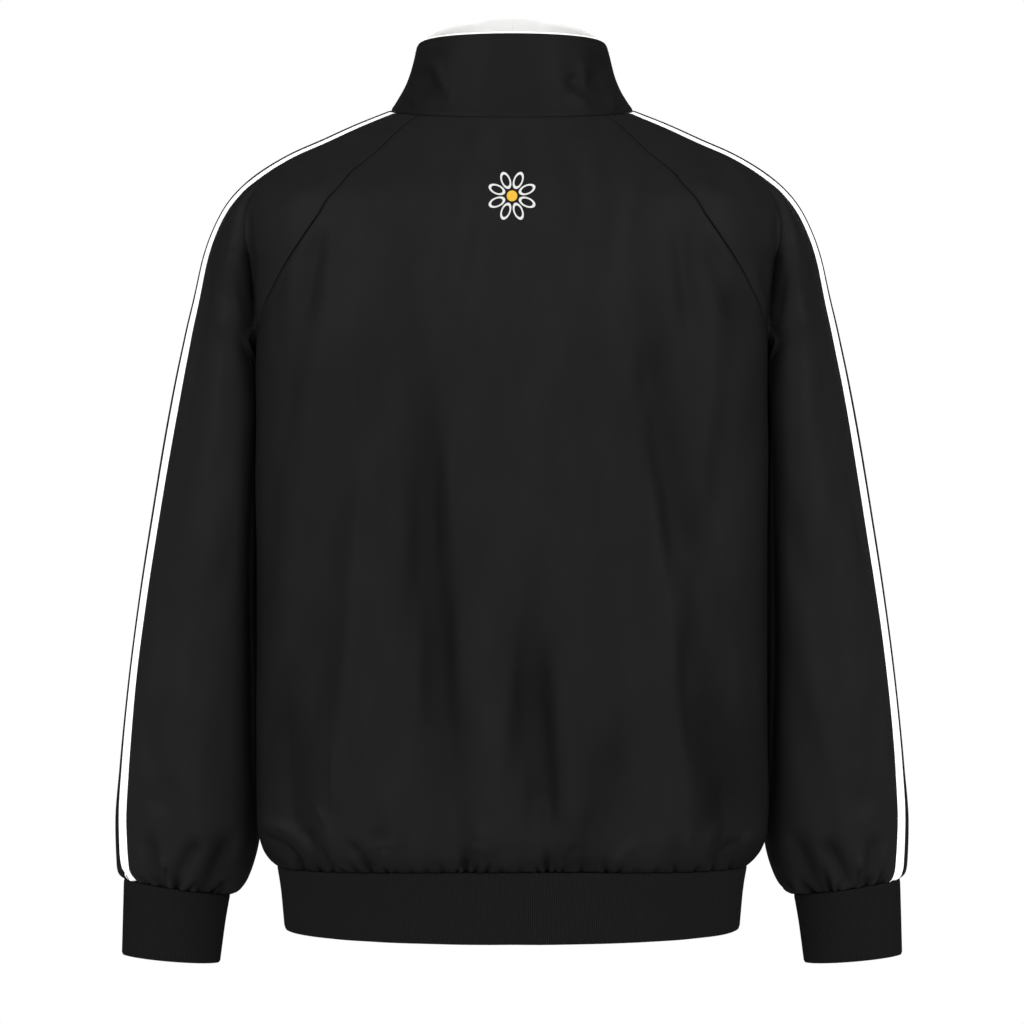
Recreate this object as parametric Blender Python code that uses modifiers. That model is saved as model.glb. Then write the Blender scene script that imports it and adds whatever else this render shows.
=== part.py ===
"""A stand-collar windbreaker with raglan sleeves, filled out as when worn, with no wearer.

Metres, +Z up. The front faces -Y and the wearer's left is +X. The origin is the middle of the neck opening, at
the height of the collar seam. Tables are in millimetres, and "down" is the distance below the origin.
"""

import math

import bpy
import numpy as np
from mathutils import Matrix, Vector

MM = 0.001

# Driving dimensions, in millimetres
CLOTH = 1.2  # satin shell
RIB = 2.2  # knitted hem and cuffs
FACING = 1.0  # white inside of the collar
TAPE_WALL = 1.0  # sleeve tapes and zip tapes
SEAM = 0.2  # each side of a seam keeps this much
CLEAR = 0.35  # between layers
FACING_CLEAR = 0.7  # between the collar and its inside
TAPE_FROM, TAPE_TO = 10.0, 23.5  # sleeve tape, measured round the sleeve from the overarm line
ZIP_HALF_GAP = 4.5  # front edges, each side of the centre
FACING_RISE = 1.3  # how far the facing stands above the collar's edge
NECK_FRONT_DROP = 11.0
UNDERARM = 215.0  # down to where the raglan seams meet
FACING_CLEAR_OF_ZIP = 34.0  # the facing begins to pass behind the zip here, from the centre
ZIP_DEPTH = 3.1  # and lies this much deeper at the zip
HEM_LIFT = 4.0  # hem seam, middle of back and front above its sides


def table(columns, *rows):
    """The rows' values by column name."""
    return {name: np.array(values, float) for name, values in zip(columns.split(), zip(*rows))}


# The body's rings, from the collar seam to the hem seam. The widest point of a ring lies at mid_y, and the ring is
# a superellipse of its own squareness behind it and before it.
BODY = table(
    "down half_width mid_y back_y front_y square_back square_front",
    (-3.5, 102, 2, 92, -86, 2.05, 2.05),
    (8, 131, 2, 97, -92, 2.0, 2.0),
    (21, 160, 3, 103, -99, 2.0, 2.0),
    (34, 190, 4, 108, -105, 2.1, 2.1),
    (46, 214, 5, 113, -110, 2.25, 2.2),
    (63, 229, 7, 119, -116, 2.5, 2.3),
    (84, 225, 11, 125, -122, 2.7, 2.4),
    (110, 221, 13, 131, -128, 2.85, 2.4),
    (145, 217.5, 15, 138, -132, 2.95, 2.35),
    (180, 215, 13, 142, -135, 3.0, 2.3),
    (215, 215, 12, 143, -136, 3.0, 2.3),
    (330, 215, 22, 144, -136, 3.0, 2.3),
    (450, 215, 25, 140, -134, 3.0, 2.3),
    (560, 215.5, 24, 137, -133, 2.9, 2.3),
    (600, 214.5, 22, 137, -133, 2.8, 2.3),
    (617, 210, 20, 135, -131, 2.75, 2.3),
    (627, 204.5, 18, 131, -128, 2.7, 2.3),
    (632, 199, 16, 126.5, -123, 2.7, 2.3),
)

# The shoulder part of a sleeve: each section runs from the back raglan seam over the arm to the front raglan seam.
# Seam points lie at an angle round the body's ring, from the middle of the back or front. Over_down is where the
# section crosses the overarm line.
CAP = table(
    "down back_deg front_deg over_down",
    (-3.5, 50.2, 45, -3.5),
    (10, 45.5, 41.5, 8),
    (30, 41.1, 39, 21),
    (51, 40.2, 38.5, 34),
    (70, 43.8, 42, 46),
    (89, 49.5, 47.5, 60),
    (107, 55.5, 52.5, 71),
    (124, 61.5, 57.5, 82),
    (141, 67.5, 63, 96),
    (162, 77, 69, 119),
    (186, 88.2, 75.5, 150),
)
FOLD_ABOVE = 38.0  # the fold's line runs on to the collar, this far round from the overarm line
FOLD_END = 17.0  # and stays this far from the raglan seam

# The arm where it leaves the shoulder, beside the body. Its inner side overlaps the body's side, and merge is the
# softness of the fold between the two.
ARM = table(
    "down out_x mid_y half_depth overlap merge",
    (46, 214, 6, 3, 3, 20),
    (54, 223, 6.5, 10, 3, 22),
    (62, 230.5, 6, 22, 3, 24),
    (72, 241, 4, 37, 3, 24),
    (84, 248, 1, 49, 3, 22),
    (97, 253, -3, 56, 3, 18),
    (122, 261, -9.5, 63, 3, 13),
    (148, 267, -16, 67, 4, 9),
    (173, 272.5, -22, 69.5, 7, 7),
    (187, 276.3, -26, 70, 8, 6),
    (215, 282, -29, 71, 8, 6),
)

# The sleeve's closed rings, from the underarm to the cuff seam
SLEEVE = table(
    "out_down out_x in_down in_x mid_y half_depth under_y clear fold_share",
    (187, 276.3, 215, 212, -26, 70, 12, 0.5, 0.8),
    (225, 284.5, 253, 209, -29, 71, -5, 2, 0.72),
    (275, 294, 301, 209, -31, 70, -20, 2, 0.62),
    (335, 304, 358, 209, -32, 67, -32, 2, 0.54),
    (405, 315, 426, 209, -34, 62, -34, 2, 0.5),
    (482, 325.2, 501, 209, -37, 57, -37, 2, 0.5),
    (556, 332.8, 572, 210, -41, 50, -41, 2, 0.5),
    (606, 336.6, 620, 214.5, -43.5, 44.5, -43.5, 2, 0.5),
    (641, 335.5, 654, 225, -45.5, 38.5, -45.5, 2, 0.5),
    (652, 330, 665, 238, -46.5, 33, -46.5, 2, 0.5),
)
CUFF = table(
    "out_down out_x in_down in_x mid_y half_depth",
    (652, 329.5, 665, 239, -46.5, 32.5),
    (676, 330.3, 687, 243, -47, 30),
    (717, 331.5, 724, 248, -48, 29.5),
)

# The stand collar between the neck seam and its top edge, by share of its height
COLLAR = table("height inward", (0, 0), (0.13, 0.22), (0.45, 0.63), (1, 1))
COLLAR_TOP = {"half_width": 80, "mid_y": 0, "back_y": 76, "front_y": -80, "square": 2.1}
COLLAR_TOP_UP = {"back": 72.5, "side": 56.5, "front": 77}
COLLAR_TOP_ROUND = {"back": 0.68, "front": 1.0}  # how late the top edge falls away to the sides

HEM = table(
    "down half_width mid_y back_y front_y square_back square_front lift",
    (632, 198.5, 16, 126, -122.5, 2.7, 2.3, 4),
    (655, 195, 16, 124.5, -121, 2.55, 2.3, 1.3),
    (687, 192, 16, 123, -119.5, 2.45, 2.3, -2.5),
)

# The largest folds: soft troughs, or ridges where the depth is negative
BACK_FOLDS = table(
    "x_top top x_bottom bottom reach depth",
    (76, 130, 52, 640, 17, 6),
    (-6, 385, -33, 650, 19, 6),
    (-112, 150, -182, 520, 24, 7),
    (-99, 460, -72, 650, 17, 6),
    (150, 150, 175, 600, 30, 5),
    (118, 200, 146, 640, 13, -3.5),
    (-112, 200, -153, 640, 13, -3),
    (22, 420, 12, 660, 22, -3),
)
FRONT_FOLDS = table(
    "x_top top x_bottom bottom reach depth",
    (88, 170, 66, 640, 20, 6),
    (-96, 210, -60, 640, 18, 6),
    (140, 260, 168, 620, 26, 6),
    (-136, 180, -176, 560, 26, 6),
    (112, 360, 120, 640, 15, -3),
    (-118, 400, -112, 640, 15, -3),
)

BACK, FRONT = 1, -1


def smooth(rows, column, at, key="down"):
    """A column read between its rows, by a cubic curve that never overshoots them."""
    x, y = rows[key], rows[column]
    at = np.clip(at, x[0], x[-1])
    step = np.diff(x)
    rise = np.diff(y) / step
    slope = np.empty_like(y)
    slope[0], slope[-1] = rise[0], rise[-1]
    before, after = rise[:-1], rise[1:]
    same_way = before * after > 0
    weight_before = (2 * step[1:] + step[:-1]) / np.where(same_way, before, 1.0)
    weight_after = (step[1:] + 2 * step[:-1]) / np.where(same_way, after, 1.0)
    mean = 3 * (step[1:] + step[:-1]) / np.where(same_way, weight_before + weight_after, 1.0)
    slope[1:-1] = np.where(same_way, mean, 0.0)
    i = np.clip(np.searchsorted(x, at) - 1, 0, len(step) - 1)
    t = (at - x[i]) / step[i]
    return (
        (1 + 2 * t) * (1 - t) ** 2 * y[i]
        + t * (1 - t) ** 2 * step[i] * slope[i]
        + t * t * (3 - 2 * t) * y[i + 1]
        + t * t * (t - 1) * step[i] * slope[i + 1]
    )


def fold_depth(folds, x, down):
    """How far the folds press the cloth in, at x and down."""
    total = 0.0
    for x_top, top, x_bottom, bottom, reach, depth in zip(*folds.values()):
        along = np.clip((down - top) / (bottom - top), 0, 1)
        middle = x_top + (x_bottom - x_top) * along
        total = total + depth * np.sin(math.pi * along**0.8) ** 0.8 * np.exp(-(((x - middle) / reach) ** 2))
    return total


def body_out(rows, x, down, side):
    """How far the body's surface lies behind (side BACK) or before (side FRONT) y = 0, at x and down."""
    half = smooth(rows, "half_width", down)
    mid = side * smooth(rows, "mid_y", down)
    far = side * smooth(rows, "back_y" if side == BACK else "front_y", down)
    square = smooth(rows, "square_back" if side == BACK else "square_front", down)
    share = np.clip(np.abs(x) / half, 0, 1)
    round_part = (far - mid) * (1 - share**square) ** (1 / square)
    folds = BACK_FOLDS if side == BACK else FRONT_FOLDS
    fade = np.clip((1 - share) * 6, 0, 1)
    return mid + round_part - fade * fold_depth(folds, x, down) - 3 * np.maximum(np.abs(x) - half, 0)


def body_side_x(y, down):
    """The half width of the body's ring at y."""
    half, mid = smooth(BODY, "half_width", down), smooth(BODY, "mid_y", down)
    back = y > mid
    far = np.where(back, smooth(BODY, "back_y", down), smooth(BODY, "front_y", down))
    square = np.where(back, smooth(BODY, "square_back", down), smooth(BODY, "square_front", down))
    share = np.clip((y - mid) / (far - mid), 0, 1)
    return half * (1 - share**square) ** (1 / square)


def body_point(rows, angle, down, side, hand):
    """A point of the body's ring, at an angle from the middle of its back or front."""
    half = smooth(rows, "half_width", down)
    x = hand * half * np.sin(angle)
    if "lift" in rows:
        lift = smooth(rows, "lift", down)
    else:
        lift = HEM_LIFT * np.clip((down - 540) / 92, 0, 1)
    lift = lift * np.cos(angle) ** 2
    return np.stack([x, side * body_out(rows, x, down, side), lift - down], -1)


def neck_down(angle, side):
    """The collar seam's distance below the origin. It dips in front."""
    return -3.5 + (NECK_FRONT_DROP * math.cos(angle) ** 2 if side == FRONT else 0)


def body_and_arm(x, down, side, hand):
    """The surfaces of the body and of the arm beside it, as body_out gives them."""
    body = body_out(BODY, hand * x, down, side)
    outer, mid = smooth(ARM, "out_x", down), side * smooth(ARM, "mid_y", down)
    inner = smooth(BODY, "half_width", down) - smooth(ARM, "overlap", down)
    centre, half = (outer + inner) / 2, np.maximum((outer - inner) / 2, 1.0)
    offset = (x - centre) / half
    arm = mid + smooth(ARM, "half_depth", down) * np.sqrt(np.clip(1 - offset**2, 0, 1))
    arm = arm - 6 * half * np.maximum(np.abs(offset) - 1, 0)
    arm = arm - 6 * np.maximum(ARM["down"][0] - down, 0)
    return body, arm


def sleeve_out(x, down, side, hand):
    """The surface of body and arm together, with a soft fold between them."""
    body, arm = body_and_arm(x, down, side, hand)
    merge = smooth(ARM, "merge", down) * np.clip((smooth(ARM, "out_x", down) - x) / 30, 0, 1)
    return (body + arm + np.sqrt((body - arm) ** 2 + merge**2)) / 2


def arc_lengths(line):
    """The distance of each of a line's points from its start."""
    return np.concatenate([[0], np.cumsum(np.linalg.norm(np.diff(line, axis=0), axis=1))])


def resample(line, *stretches):
    """Points along a line: for each stretch, so many steps up to that distance from its start."""
    at = [0.0]
    for steps, end in stretches:
        at.extend(np.linspace(at[-1], end, steps + 1)[1:])
    length = arc_lengths(line)
    return np.stack([np.interp(at, length, axis) for axis in line.T], 1)


SAMPLES = 400
ARM_STEPS, SHOULDER_STEPS = 4, 4


def cap_half(row, side, hand):
    """Half a section of a sleeve's shoulder part, from the overarm line to a raglan seam. Its points follow the
    tape's edges and the bottom of the fold between arm and shoulder."""
    seam_angle = math.radians(CAP["back_deg" if side == BACK else "front_deg"][row])
    fold = FOLD_ABOVE
    if row == 0:
        angles = np.linspace(math.pi / 2, seam_angle, SAMPLES)
        line = np.array([body_point(BODY, a, neck_down(a, side), side, 1) for a in angles])
    else:
        seam_down, over_down = CAP["down"][row], CAP["over_down"][row]
        seam = body_point(BODY, seam_angle, seam_down, side, 1)
        has_arm = over_down > ARM["down"][0]
        over_x = smooth(ARM, "out_x", over_down) if has_arm else smooth(BODY, "half_width", over_down)
        share = np.sin(np.linspace(0, math.pi / 2, SAMPLES)) ** 2
        x = over_x + (seam[0] - over_x) * share
        down = over_down + (seam_down - over_down) * share
        line = np.stack([x, side * sleeve_out(x, down, side, hand), -down], 1)
        line[-1] = seam
        if has_arm:
            body, arm = body_and_arm(x, down, side, hand)
            fold = arc_lengths(line)[np.flatnonzero(arm > body)[-1]]
    line[:, 0] *= hand
    end = arc_lengths(line)[-1]
    fold = min(max(fold, FOLD_ABOVE), end - FOLD_END)
    return resample(line, (1, TAPE_FROM), (1, TAPE_TO), (ARM_STEPS, fold), (SHOULDER_STEPS, end))


def ring(rows, row, hand, clear=0.0):
    """A closed ring of a sleeve or cuff, from its outermost point round the back."""
    outer, inner = rows["out_x"][row], rows["in_x"][row]
    turn = np.linspace(0, 2 * math.pi, 4 * SAMPLES, endpoint=False)
    x = (outer + inner) / 2 + (outer - inner) / 2 * np.cos(turn)
    y = rows["mid_y"][row] + rows["half_depth"][row] * np.sin(turn)
    across = (outer - x) / (outer - inner)
    down = rows["out_down"][row] + (rows["in_down"][row] - rows["out_down"][row]) * across
    if clear:
        x = np.maximum(x, body_side_x(y, down) + clear)
    return np.stack([hand * x, y, -down], 1)


def tube_halves(row, hand):
    """The back and front halves of a closed sleeve ring, from the overarm line to the underarm line."""
    points = ring(SLEEVE, row, hand, SLEEVE["clear"][row])
    inner = np.abs(points[:, 0]) < (SLEEVE["out_x"][row] + SLEEVE["in_x"][row]) / 2
    under = np.argmin(np.where(inner, np.abs(points[:, 1] - SLEEVE["under_y"][row]), 1e9))
    back = points[: under + 1]
    front = np.concatenate([points[:1], points[under:][::-1]])
    halves = []
    for half in (back, front):
        end = arc_lengths(half)[-1]
        fold = TAPE_TO + (end - TAPE_TO) * SLEEVE["fold_share"][row]
        halves.append(
            resample(half, (1, TAPE_FROM), (1, TAPE_TO), (ARM_STEPS, fold), (SHOULDER_STEPS, end))
        )
    return halves


def sleeve_grid(hand):
    """The sleeve's rows of points, from the back seam over the arm to the front seam."""
    rows = []
    for row in range(len(CAP["down"])):
        back, front = cap_half(row, BACK, hand), cap_half(row, FRONT, hand)
        rows.append(np.concatenate([back[::-1], front[1:]]))
    for row in range(len(SLEEVE["out_x"])):
        back, front = tube_halves(row, hand)
        rows.append(np.concatenate([back[::-1], front[1:]]))
    return np.array(rows)


def shorten(grid, first_row=0.0, last_row=0.0, first_column=0.0, last_column=0.0, rows=slice(None)):
    """Moves a grid's edges in along its own lines, to leave the gap of a seam."""
    grid = grid.copy()

    def pull(edge, inner, distance):
        if distance:
            way = inner - edge
            edge += way / np.linalg.norm(way, axis=-1, keepdims=True) * distance

    pull(grid[0], grid[1], first_row)
    pull(grid[-1], grid[-2], last_row)
    pull(grid[rows, 0], grid[rows, 1], first_column)
    pull(grid[rows, -1], grid[rows, -2], last_column)
    return grid


def material(name, colour, roughness, metallic=0.0):
    """A plain Principled material."""
    made = bpy.data.materials.new(name)
    made.use_nodes = True
    shader = made.node_tree.nodes["Principled BSDF"]
    shader.inputs["Base Color"].default_value = (*colour, 1)
    shader.inputs["Roughness"].default_value = roughness
    shader.inputs["Metallic"].default_value = metallic
    return made


def grid_object(name, grid, look, wall, closed_rows=None, closed=False):
    """An open surface through a grid of points, in millimetres, thickened inwards. Rows from closed_rows on are
    rings whose last point is their first."""
    rows, columns = grid.shape[:2]
    index = np.arange(rows * columns).reshape(rows, columns)
    if closed:
        closed_rows = 0
    if closed_rows is not None:
        index[closed_rows:, -1] = index[closed_rows:, 0]
    used = np.unique(index)
    place = np.zeros(rows * columns, int)
    place[used] = np.arange(len(used))
    faces = []
    for r in range(rows - 1):
        for c in range(columns - 1):
            corners = [index[r, c], index[r, c + 1], index[r + 1, c + 1], index[r + 1, c]]
            corners = list(dict.fromkeys(int(place[i]) for i in corners))
            faces.append(corners)
    mesh = bpy.data.meshes.new(name)
    mesh.from_pydata((grid.reshape(-1, 3)[used] * MM).tolist(), [], faces)
    mesh.materials.append(look)
    made = bpy.data.objects.new(name, mesh)
    parts.objects.link(made)
    shell = made.modifiers.new("Wall", "SOLIDIFY")
    shell.thickness = wall * MM
    shell.offset = -1
    mesh.shade_smooth()
    return made


def face_outwards(made, centre):
    """Turns an open surface so that its faces point away from a line of centres."""
    mesh = made.data
    votes = sum(
        face.area * face.normal.dot(face.center - centre(face.center)) for face in mesh.polygons
    )
    if votes < 0:
        mesh.flip_normals()


for old in list(bpy.data.objects):
    bpy.data.objects.remove(old)
parts = bpy.data.collections.new("Windbreaker")
bpy.context.scene.collection.children.link(parts)

BLACK = material("black_satin", (0.012, 0.012, 0.012), 0.5)
WHITE = material("white_tape", (0.85, 0.85, 0.84), 0.55)
WHITE_FACING = material("white_facing", (0.82, 0.82, 0.81), 0.6)
KNIT = material("black_rib", (0.010, 0.010, 0.010), 0.85)
ZIP_CLOTH = material("zip_tape", (0.014, 0.014, 0.014), 0.7)
BLACK_PLASTIC = material("black_plastic", (0.015, 0.015, 0.015), 0.4)
BLACK_METAL = material("black_metal", (0.05, 0.05, 0.05), 0.3, 1.0)

BODY_ROWS = np.concatenate([CAP["down"], [UNDERARM, 270, 340, 415, 490, 550, 592, 615, 627, 632]])
BACK_HALF_COLUMNS = 8
FRONT_COLUMNS = 8
DIPPED_ROWS = 4  # of a front, near the neck
COLLAR_STEPS = 11  # a quarter of the way round
HEM_STEPS = 10
CUFF_STEPS = 20
NECK_MIDDLE = np.array([0, 0, 35.0])

# The zip's lines: from its centre to the tape's edge, and down its length
ZIP_COLUMNS = (2.1, 8.0, 14.5)
ZIP_LINES = (
    [(height, "collar") for height in (0.97, 0.8, 0.45, 0.13, 0)]
    + [(down, "body") for down in (18, 35, 63, 110, 180, 260, 340, 415, 490, 550, 592, 612, 622)]
    + [(down, "hem") for down in (632, 655, 686)]
)
TEETH_HALF = 1.8
TEETH_THICK = 1.8
SLIDER_HEIGHT = 0.86  # of the collar
TEETH_TOP = 0.85


def seam_angle(down, side):
    """The raglan seam's angle round the body's ring, or the side seam's below the underarm."""
    degrees = CAP["back_deg" if side == BACK else "front_deg"]
    return math.radians(np.interp(down, [*CAP["down"], UNDERARM], [*degrees, 90]))


def on_axis(point):
    """The body's own axis."""
    return Vector((0, 0, point.z))


def make_back():
    """One panel, from seam to seam."""
    grid = []
    for down in BODY_ROWS:
        edge = seam_angle(down, BACK)
        left = [
            body_point(BODY, edge * i / BACK_HALF_COLUMNS, down, BACK, 1)
            for i in range(BACK_HALF_COLUMNS, 0, -1)
        ]
        right = [
            body_point(BODY, edge * i / BACK_HALF_COLUMNS, down, BACK, -1)
            for i in range(BACK_HALF_COLUMNS + 1)
        ]
        grid.append(left + right)
    grid = shorten(np.array(grid), SEAM, SEAM, SEAM, SEAM)
    made = grid_object("back", grid, BLACK, CLOTH)
    face_outwards(made, on_axis)


def front_angle(i, steps, front_x, half_width, last):
    """The angle of column i of a front: its edge, the zip tape's edge, then even steps to the last."""
    if i == 0:
        return math.asin(front_x / half_width)
    tape = math.asin(ZIP_COLUMNS[-1] / half_width)
    return tape + (last - tape) * (i - 1) / (steps - 1)


def make_front(name, hand):
    """One front, from the zip to the raglan and side seams. Its neck edge dips to the zip."""
    grid = []
    for row, down in enumerate(BODY_ROWS):
        edge = seam_angle(down, FRONT)
        points = []
        for i in range(FRONT_COLUMNS + 1):
            here = down
            angle = front_angle(i, FRONT_COLUMNS, ZIP_HALF_GAP, smooth(BODY, "half_width", down), edge)
            if row == 0:
                here = neck_down(angle, FRONT)
            elif row < DIPPED_ROWS:
                drop = neck_down(angle, FRONT) - BODY_ROWS[0]
                here = down + drop * (1 - row / DIPPED_ROWS) * (1 - i / FRONT_COLUMNS)
            points.append(body_point(BODY, angle, here, FRONT, hand))
        grid.append(points)
    grid = shorten(np.array(grid), SEAM, SEAM, 0, SEAM)
    grid[:, 0, 0] = hand * ZIP_HALF_GAP
    made = grid_object(name, grid, BLACK, CLOTH)
    face_outwards(made, on_axis)


def make_sleeve(name, hand):
    """A one-piece raglan sleeve, from the collar seam to the cuff seam."""
    cap_rows = len(CAP["down"])
    grid = sleeve_grid(hand)
    grid = shorten(grid, SEAM, SEAM, SEAM, SEAM, rows=slice(0, cap_rows))
    grid[cap_rows, 0, 2] -= SEAM
    grid[cap_rows, -1] = grid[cap_rows, 0]
    made = grid_object(name, grid, BLACK, CLOTH, closed_rows=cap_rows)
    face_outwards(made, lambda p: Vector((hand * max(0.09, abs(p.x) - 0.06) if p.z > -0.19 else
                                          hand * (0.245 - 0.08 * p.z), -0.03, min(p.z, -0.1))))
    return grid


def around(steps, front_x, half_width):
    """Side, hand and angle of points round a ring that opens at the front, from the left front edge."""
    front = [front_angle(i, steps, front_x, half_width, math.pi / 2) for i in range(steps)]
    back = [math.pi / 2 * (1 - i / steps) for i in range(steps)]
    left = [(FRONT, 1, a) for a in front] + [(BACK, 1, a) for a in back]
    return left + [(BACK, -1, 0.0)] + [(side, -1, a) for side, hand, a in reversed(left)]


def collar_point(side, hand, angle, height):
    """A point of the collar's outer side. Height runs from 0 at the seam to 1 at the top edge."""
    base = body_point(BODY, angle, neck_down(angle, side), side, hand)
    name = "back" if side == BACK else "front"
    square = COLLAR_TOP["square"]
    depth = abs(COLLAR_TOP[name + "_y"]) * (1 - math.sin(angle) ** square) ** (1 / square)
    rise = COLLAR_TOP_UP[name] - COLLAR_TOP_UP["side"]
    top_z = COLLAR_TOP_UP["side"] + rise * math.cos(angle) ** COLLAR_TOP_ROUND[name]
    top = np.array([hand * COLLAR_TOP["half_width"] * math.sin(angle), side * depth, top_z])
    inward = smooth(COLLAR, "inward", height, "height")
    point = base + (top - base) * inward
    point[2] = base[2] + (top[2] - base[2]) * height
    return point


def grid_normals(grid, closed=False):
    """Unit normals of a grid's points."""
    across, along = np.gradient(grid, axis=1), np.gradient(grid, axis=0)
    if closed:
        across[:, 0] = across[:, -1] = (grid[:, 1] - grid[:, -2]) / 2
    normals = np.cross(across, along)
    return normals / np.linalg.norm(normals, axis=-1, keepdims=True)


def outward_normals(grid, centre, closed=False):
    """Unit normals that point away from a point inside."""
    normals = grid_normals(grid, closed)
    if np.sum(normals * (grid - centre)) < 0:
        normals = -normals
    return normals


def collar_grid(heights, front_x):
    """The collar's outer side, from its seam up."""
    places = around(COLLAR_STEPS, front_x, COLLAR_TOP["half_width"])
    return np.array([[collar_point(*place, h) for place in places] for h in heights])


def make_collar():
    """The black stand collar, and its white inside, which stands a little higher."""
    grid = collar_grid(COLLAR["height"], ZIP_HALF_GAP)
    grid[:, 0, 0], grid[:, -1, 0] = ZIP_HALF_GAP, -ZIP_HALF_GAP
    grid = shorten(grid, SEAM)
    face_outwards(grid_object("collar", grid, BLACK, CLOTH), on_axis)

    grid = collar_grid(COLLAR["height"], SEAM)
    inwards = -outward_normals(grid, NECK_MIDDLE)
    beside_zip = np.clip((FACING_CLEAR_OF_ZIP - np.abs(grid[..., 0])) / 14, 0, 1) * (grid[..., 1] < 0)
    depth = CLOTH + FACING_CLEAR + ZIP_DEPTH * beside_zip * beside_zip * (3 - 2 * beside_zip)
    grid = grid + inwards * depth[..., None]
    grid[:, 0, 0], grid[:, -1, 0] = SEAM, -SEAM
    grid[-1, :, 2] += FACING_RISE
    grid = shorten(grid, 1.5)
    face_outwards(grid_object("collar_facing", grid, WHITE_FACING, FACING), on_axis)


def make_hem():
    """The ribbed band round the hem, open at the zip."""
    places = around(HEM_STEPS, ZIP_HALF_GAP, HEM["half_width"][0])
    grid = np.array([[body_point(HEM, a, down, side, hand) for side, hand, a in places] for down in HEM["down"]])
    grid[:, 0, 0], grid[:, -1, 0] = ZIP_HALF_GAP, -ZIP_HALF_GAP
    face_outwards(grid_object("hem_rib", shorten(grid, SEAM), KNIT, RIB), on_axis)


def make_cuff(name, hand):
    """A ribbed cuff."""
    grid = []
    for row in range(len(CUFF["out_x"])):
        line = ring(CUFF, row, hand)
        line = np.concatenate([line, line[:1]])
        grid.append(resample(line, (CUFF_STEPS, arc_lengths(line)[-1])))
    grid = shorten(np.array(grid), SEAM)
    made = grid_object(name, grid, KNIT, RIB, closed_rows=0)
    middle = Vector((hand * 0.286, -0.047, 0))
    face_outwards(made, lambda p: Vector((middle.x, middle.y, p.z)))


def make_sleeve_tapes(side_name, sleeve):
    """The two white tapes that are sewn on a sleeve, each side of the overarm line."""
    over = sleeve.shape[1] // 2
    normals = grid_normals(sleeve)
    if normals[-3, over, 0] * sleeve[-3, over, 0] < 0:
        normals = -normals
    lifted = sleeve + normals * CLEAR
    for end, columns in (("back", (over - 2, over - 1)), ("front", (over + 1, over + 2))):
        grid = lifted[:, columns]
        made = grid_object(f"tape_{side_name}_{end}", grid, WHITE, TAPE_WALL)
        made.modifiers["Wall"].offset = 1
        outer = normals[:, columns[0]].mean(0)
        if sum(f.normal.dot(Vector(outer)) * f.area for f in made.data.polygons) < 0:
            made.data.flip_normals()


def front_point(x, station, place):
    """The outer surface beside the zip, at x, on the collar, body or hem."""
    hand = 1 if x > 0 else -1
    if place == "collar":
        wide = smooth(BODY, "half_width", neck_down(0, FRONT))
        wide += (COLLAR_TOP["half_width"] - wide) * smooth(COLLAR, "inward", station, "height")
        return collar_point(FRONT, hand, math.asin(abs(x) / wide), station)
    rows = BODY if place == "body" else HEM
    angle = math.asin(abs(x) / smooth(rows, "half_width", station))
    return body_point(rows, angle, station, FRONT, hand)


def zip_grid(columns, depth_from_wall, lines):
    """Points behind the fronts' edges, from the collar's top to the hem."""
    grid = np.array([[front_point(x, *line) for x in columns] for line in lines])
    slant = 1 / np.clip(np.abs(grid_normals(grid)[..., 1]), 0.6, 1)
    walls = np.array([RIB if place == "hem" else CLOTH for _, place in lines])
    near_hem = np.array([place == "body" and at > 600 for at, place in lines])
    walls = np.where(near_hem, RIB, walls)
    grid[..., 1] += slant * (walls + depth_from_wall)[:, None]
    return grid


def make_zip():
    """The closed zip: two tapes and the teeth between them, plain here."""
    for name, hand in (("zip_tape_left", 1), ("zip_tape_right", -1)):
        grid = zip_grid([hand * x for x in ZIP_COLUMNS], CLEAR, ZIP_LINES)
        made = grid_object(name, grid, ZIP_CLOTH, TAPE_WALL)
        if sum(f.normal.y * f.area for f in made.data.polygons) > 0:
            made.data.flip_normals()
    depth = CLEAR + (TAPE_WALL - TEETH_THICK) / 2
    lines = [(TEETH_TOP, "collar")] + [line for line in ZIP_LINES if line[1] != "collar" or line[0] < TEETH_TOP]
    grid = zip_grid((-TEETH_HALF, TEETH_HALF), depth, lines)
    made = grid_object("zip_teeth", grid, BLACK_PLASTIC, TEETH_THICK)
    if sum(f.normal.y * f.area for f in made.data.polygons) > 0:
        made.data.flip_normals()


# Slider and pull tab, in the slider's own frame: x across, up along the zip, out from the cloth
PLATE_HALF, PLATE_UP = 4.0, 5.5
PLATE_BACK, PLATE_FACE = -0.85, 1.0
INNER_PLATE = (-4.05, -3.25)
POST_HALF, POST_FROM = 1.0, 2.7
CROWN_HALF, CROWN_UP, CROWN_FOOT = 1.0, 4.3, 1.4
CROWN_INSIDE, CROWN_TOP = 3.4, 4.4
PIVOT_UP, PIVOT_OUT = -1.6, 2.15
TAB_THICK, TAB_HALF, TAB_END = 1.5, 3.2, 27.0
EYE_HALF, EYE_FROM, EYE_TO = 1.45, 0.8, 4.3


def slider_frame():
    """The slider's place on the collar's front, with its up and out directions."""
    here = front_point(0.001, SLIDER_HEIGHT, "collar")
    above, below = (front_point(0.001, SLIDER_HEIGHT + d, "collar") for d in (0.05, -0.05))
    up = Vector(above - below).normalized()
    up.x = 0
    out = Vector((1, 0, 0)).cross(up)
    return Vector((0, here[1], here[2])), up, out


def block(name, x_half, up_range, out_range, collection):
    """A box in the slider's frame."""
    bpy.ops.mesh.primitive_cube_add(size=1)
    made = bpy.context.object
    made.name = name
    for old_collection in made.users_collection:
        old_collection.objects.unlink(made)
    collection.objects.link(made)
    size = (2 * x_half, up_range[1] - up_range[0], out_range[1] - out_range[0])
    middle = (0, sum(up_range) / 2, sum(out_range) / 2)
    made.data.transform(Matrix.Translation(middle) @ Matrix.Diagonal((*size, 1)))
    return made


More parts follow.
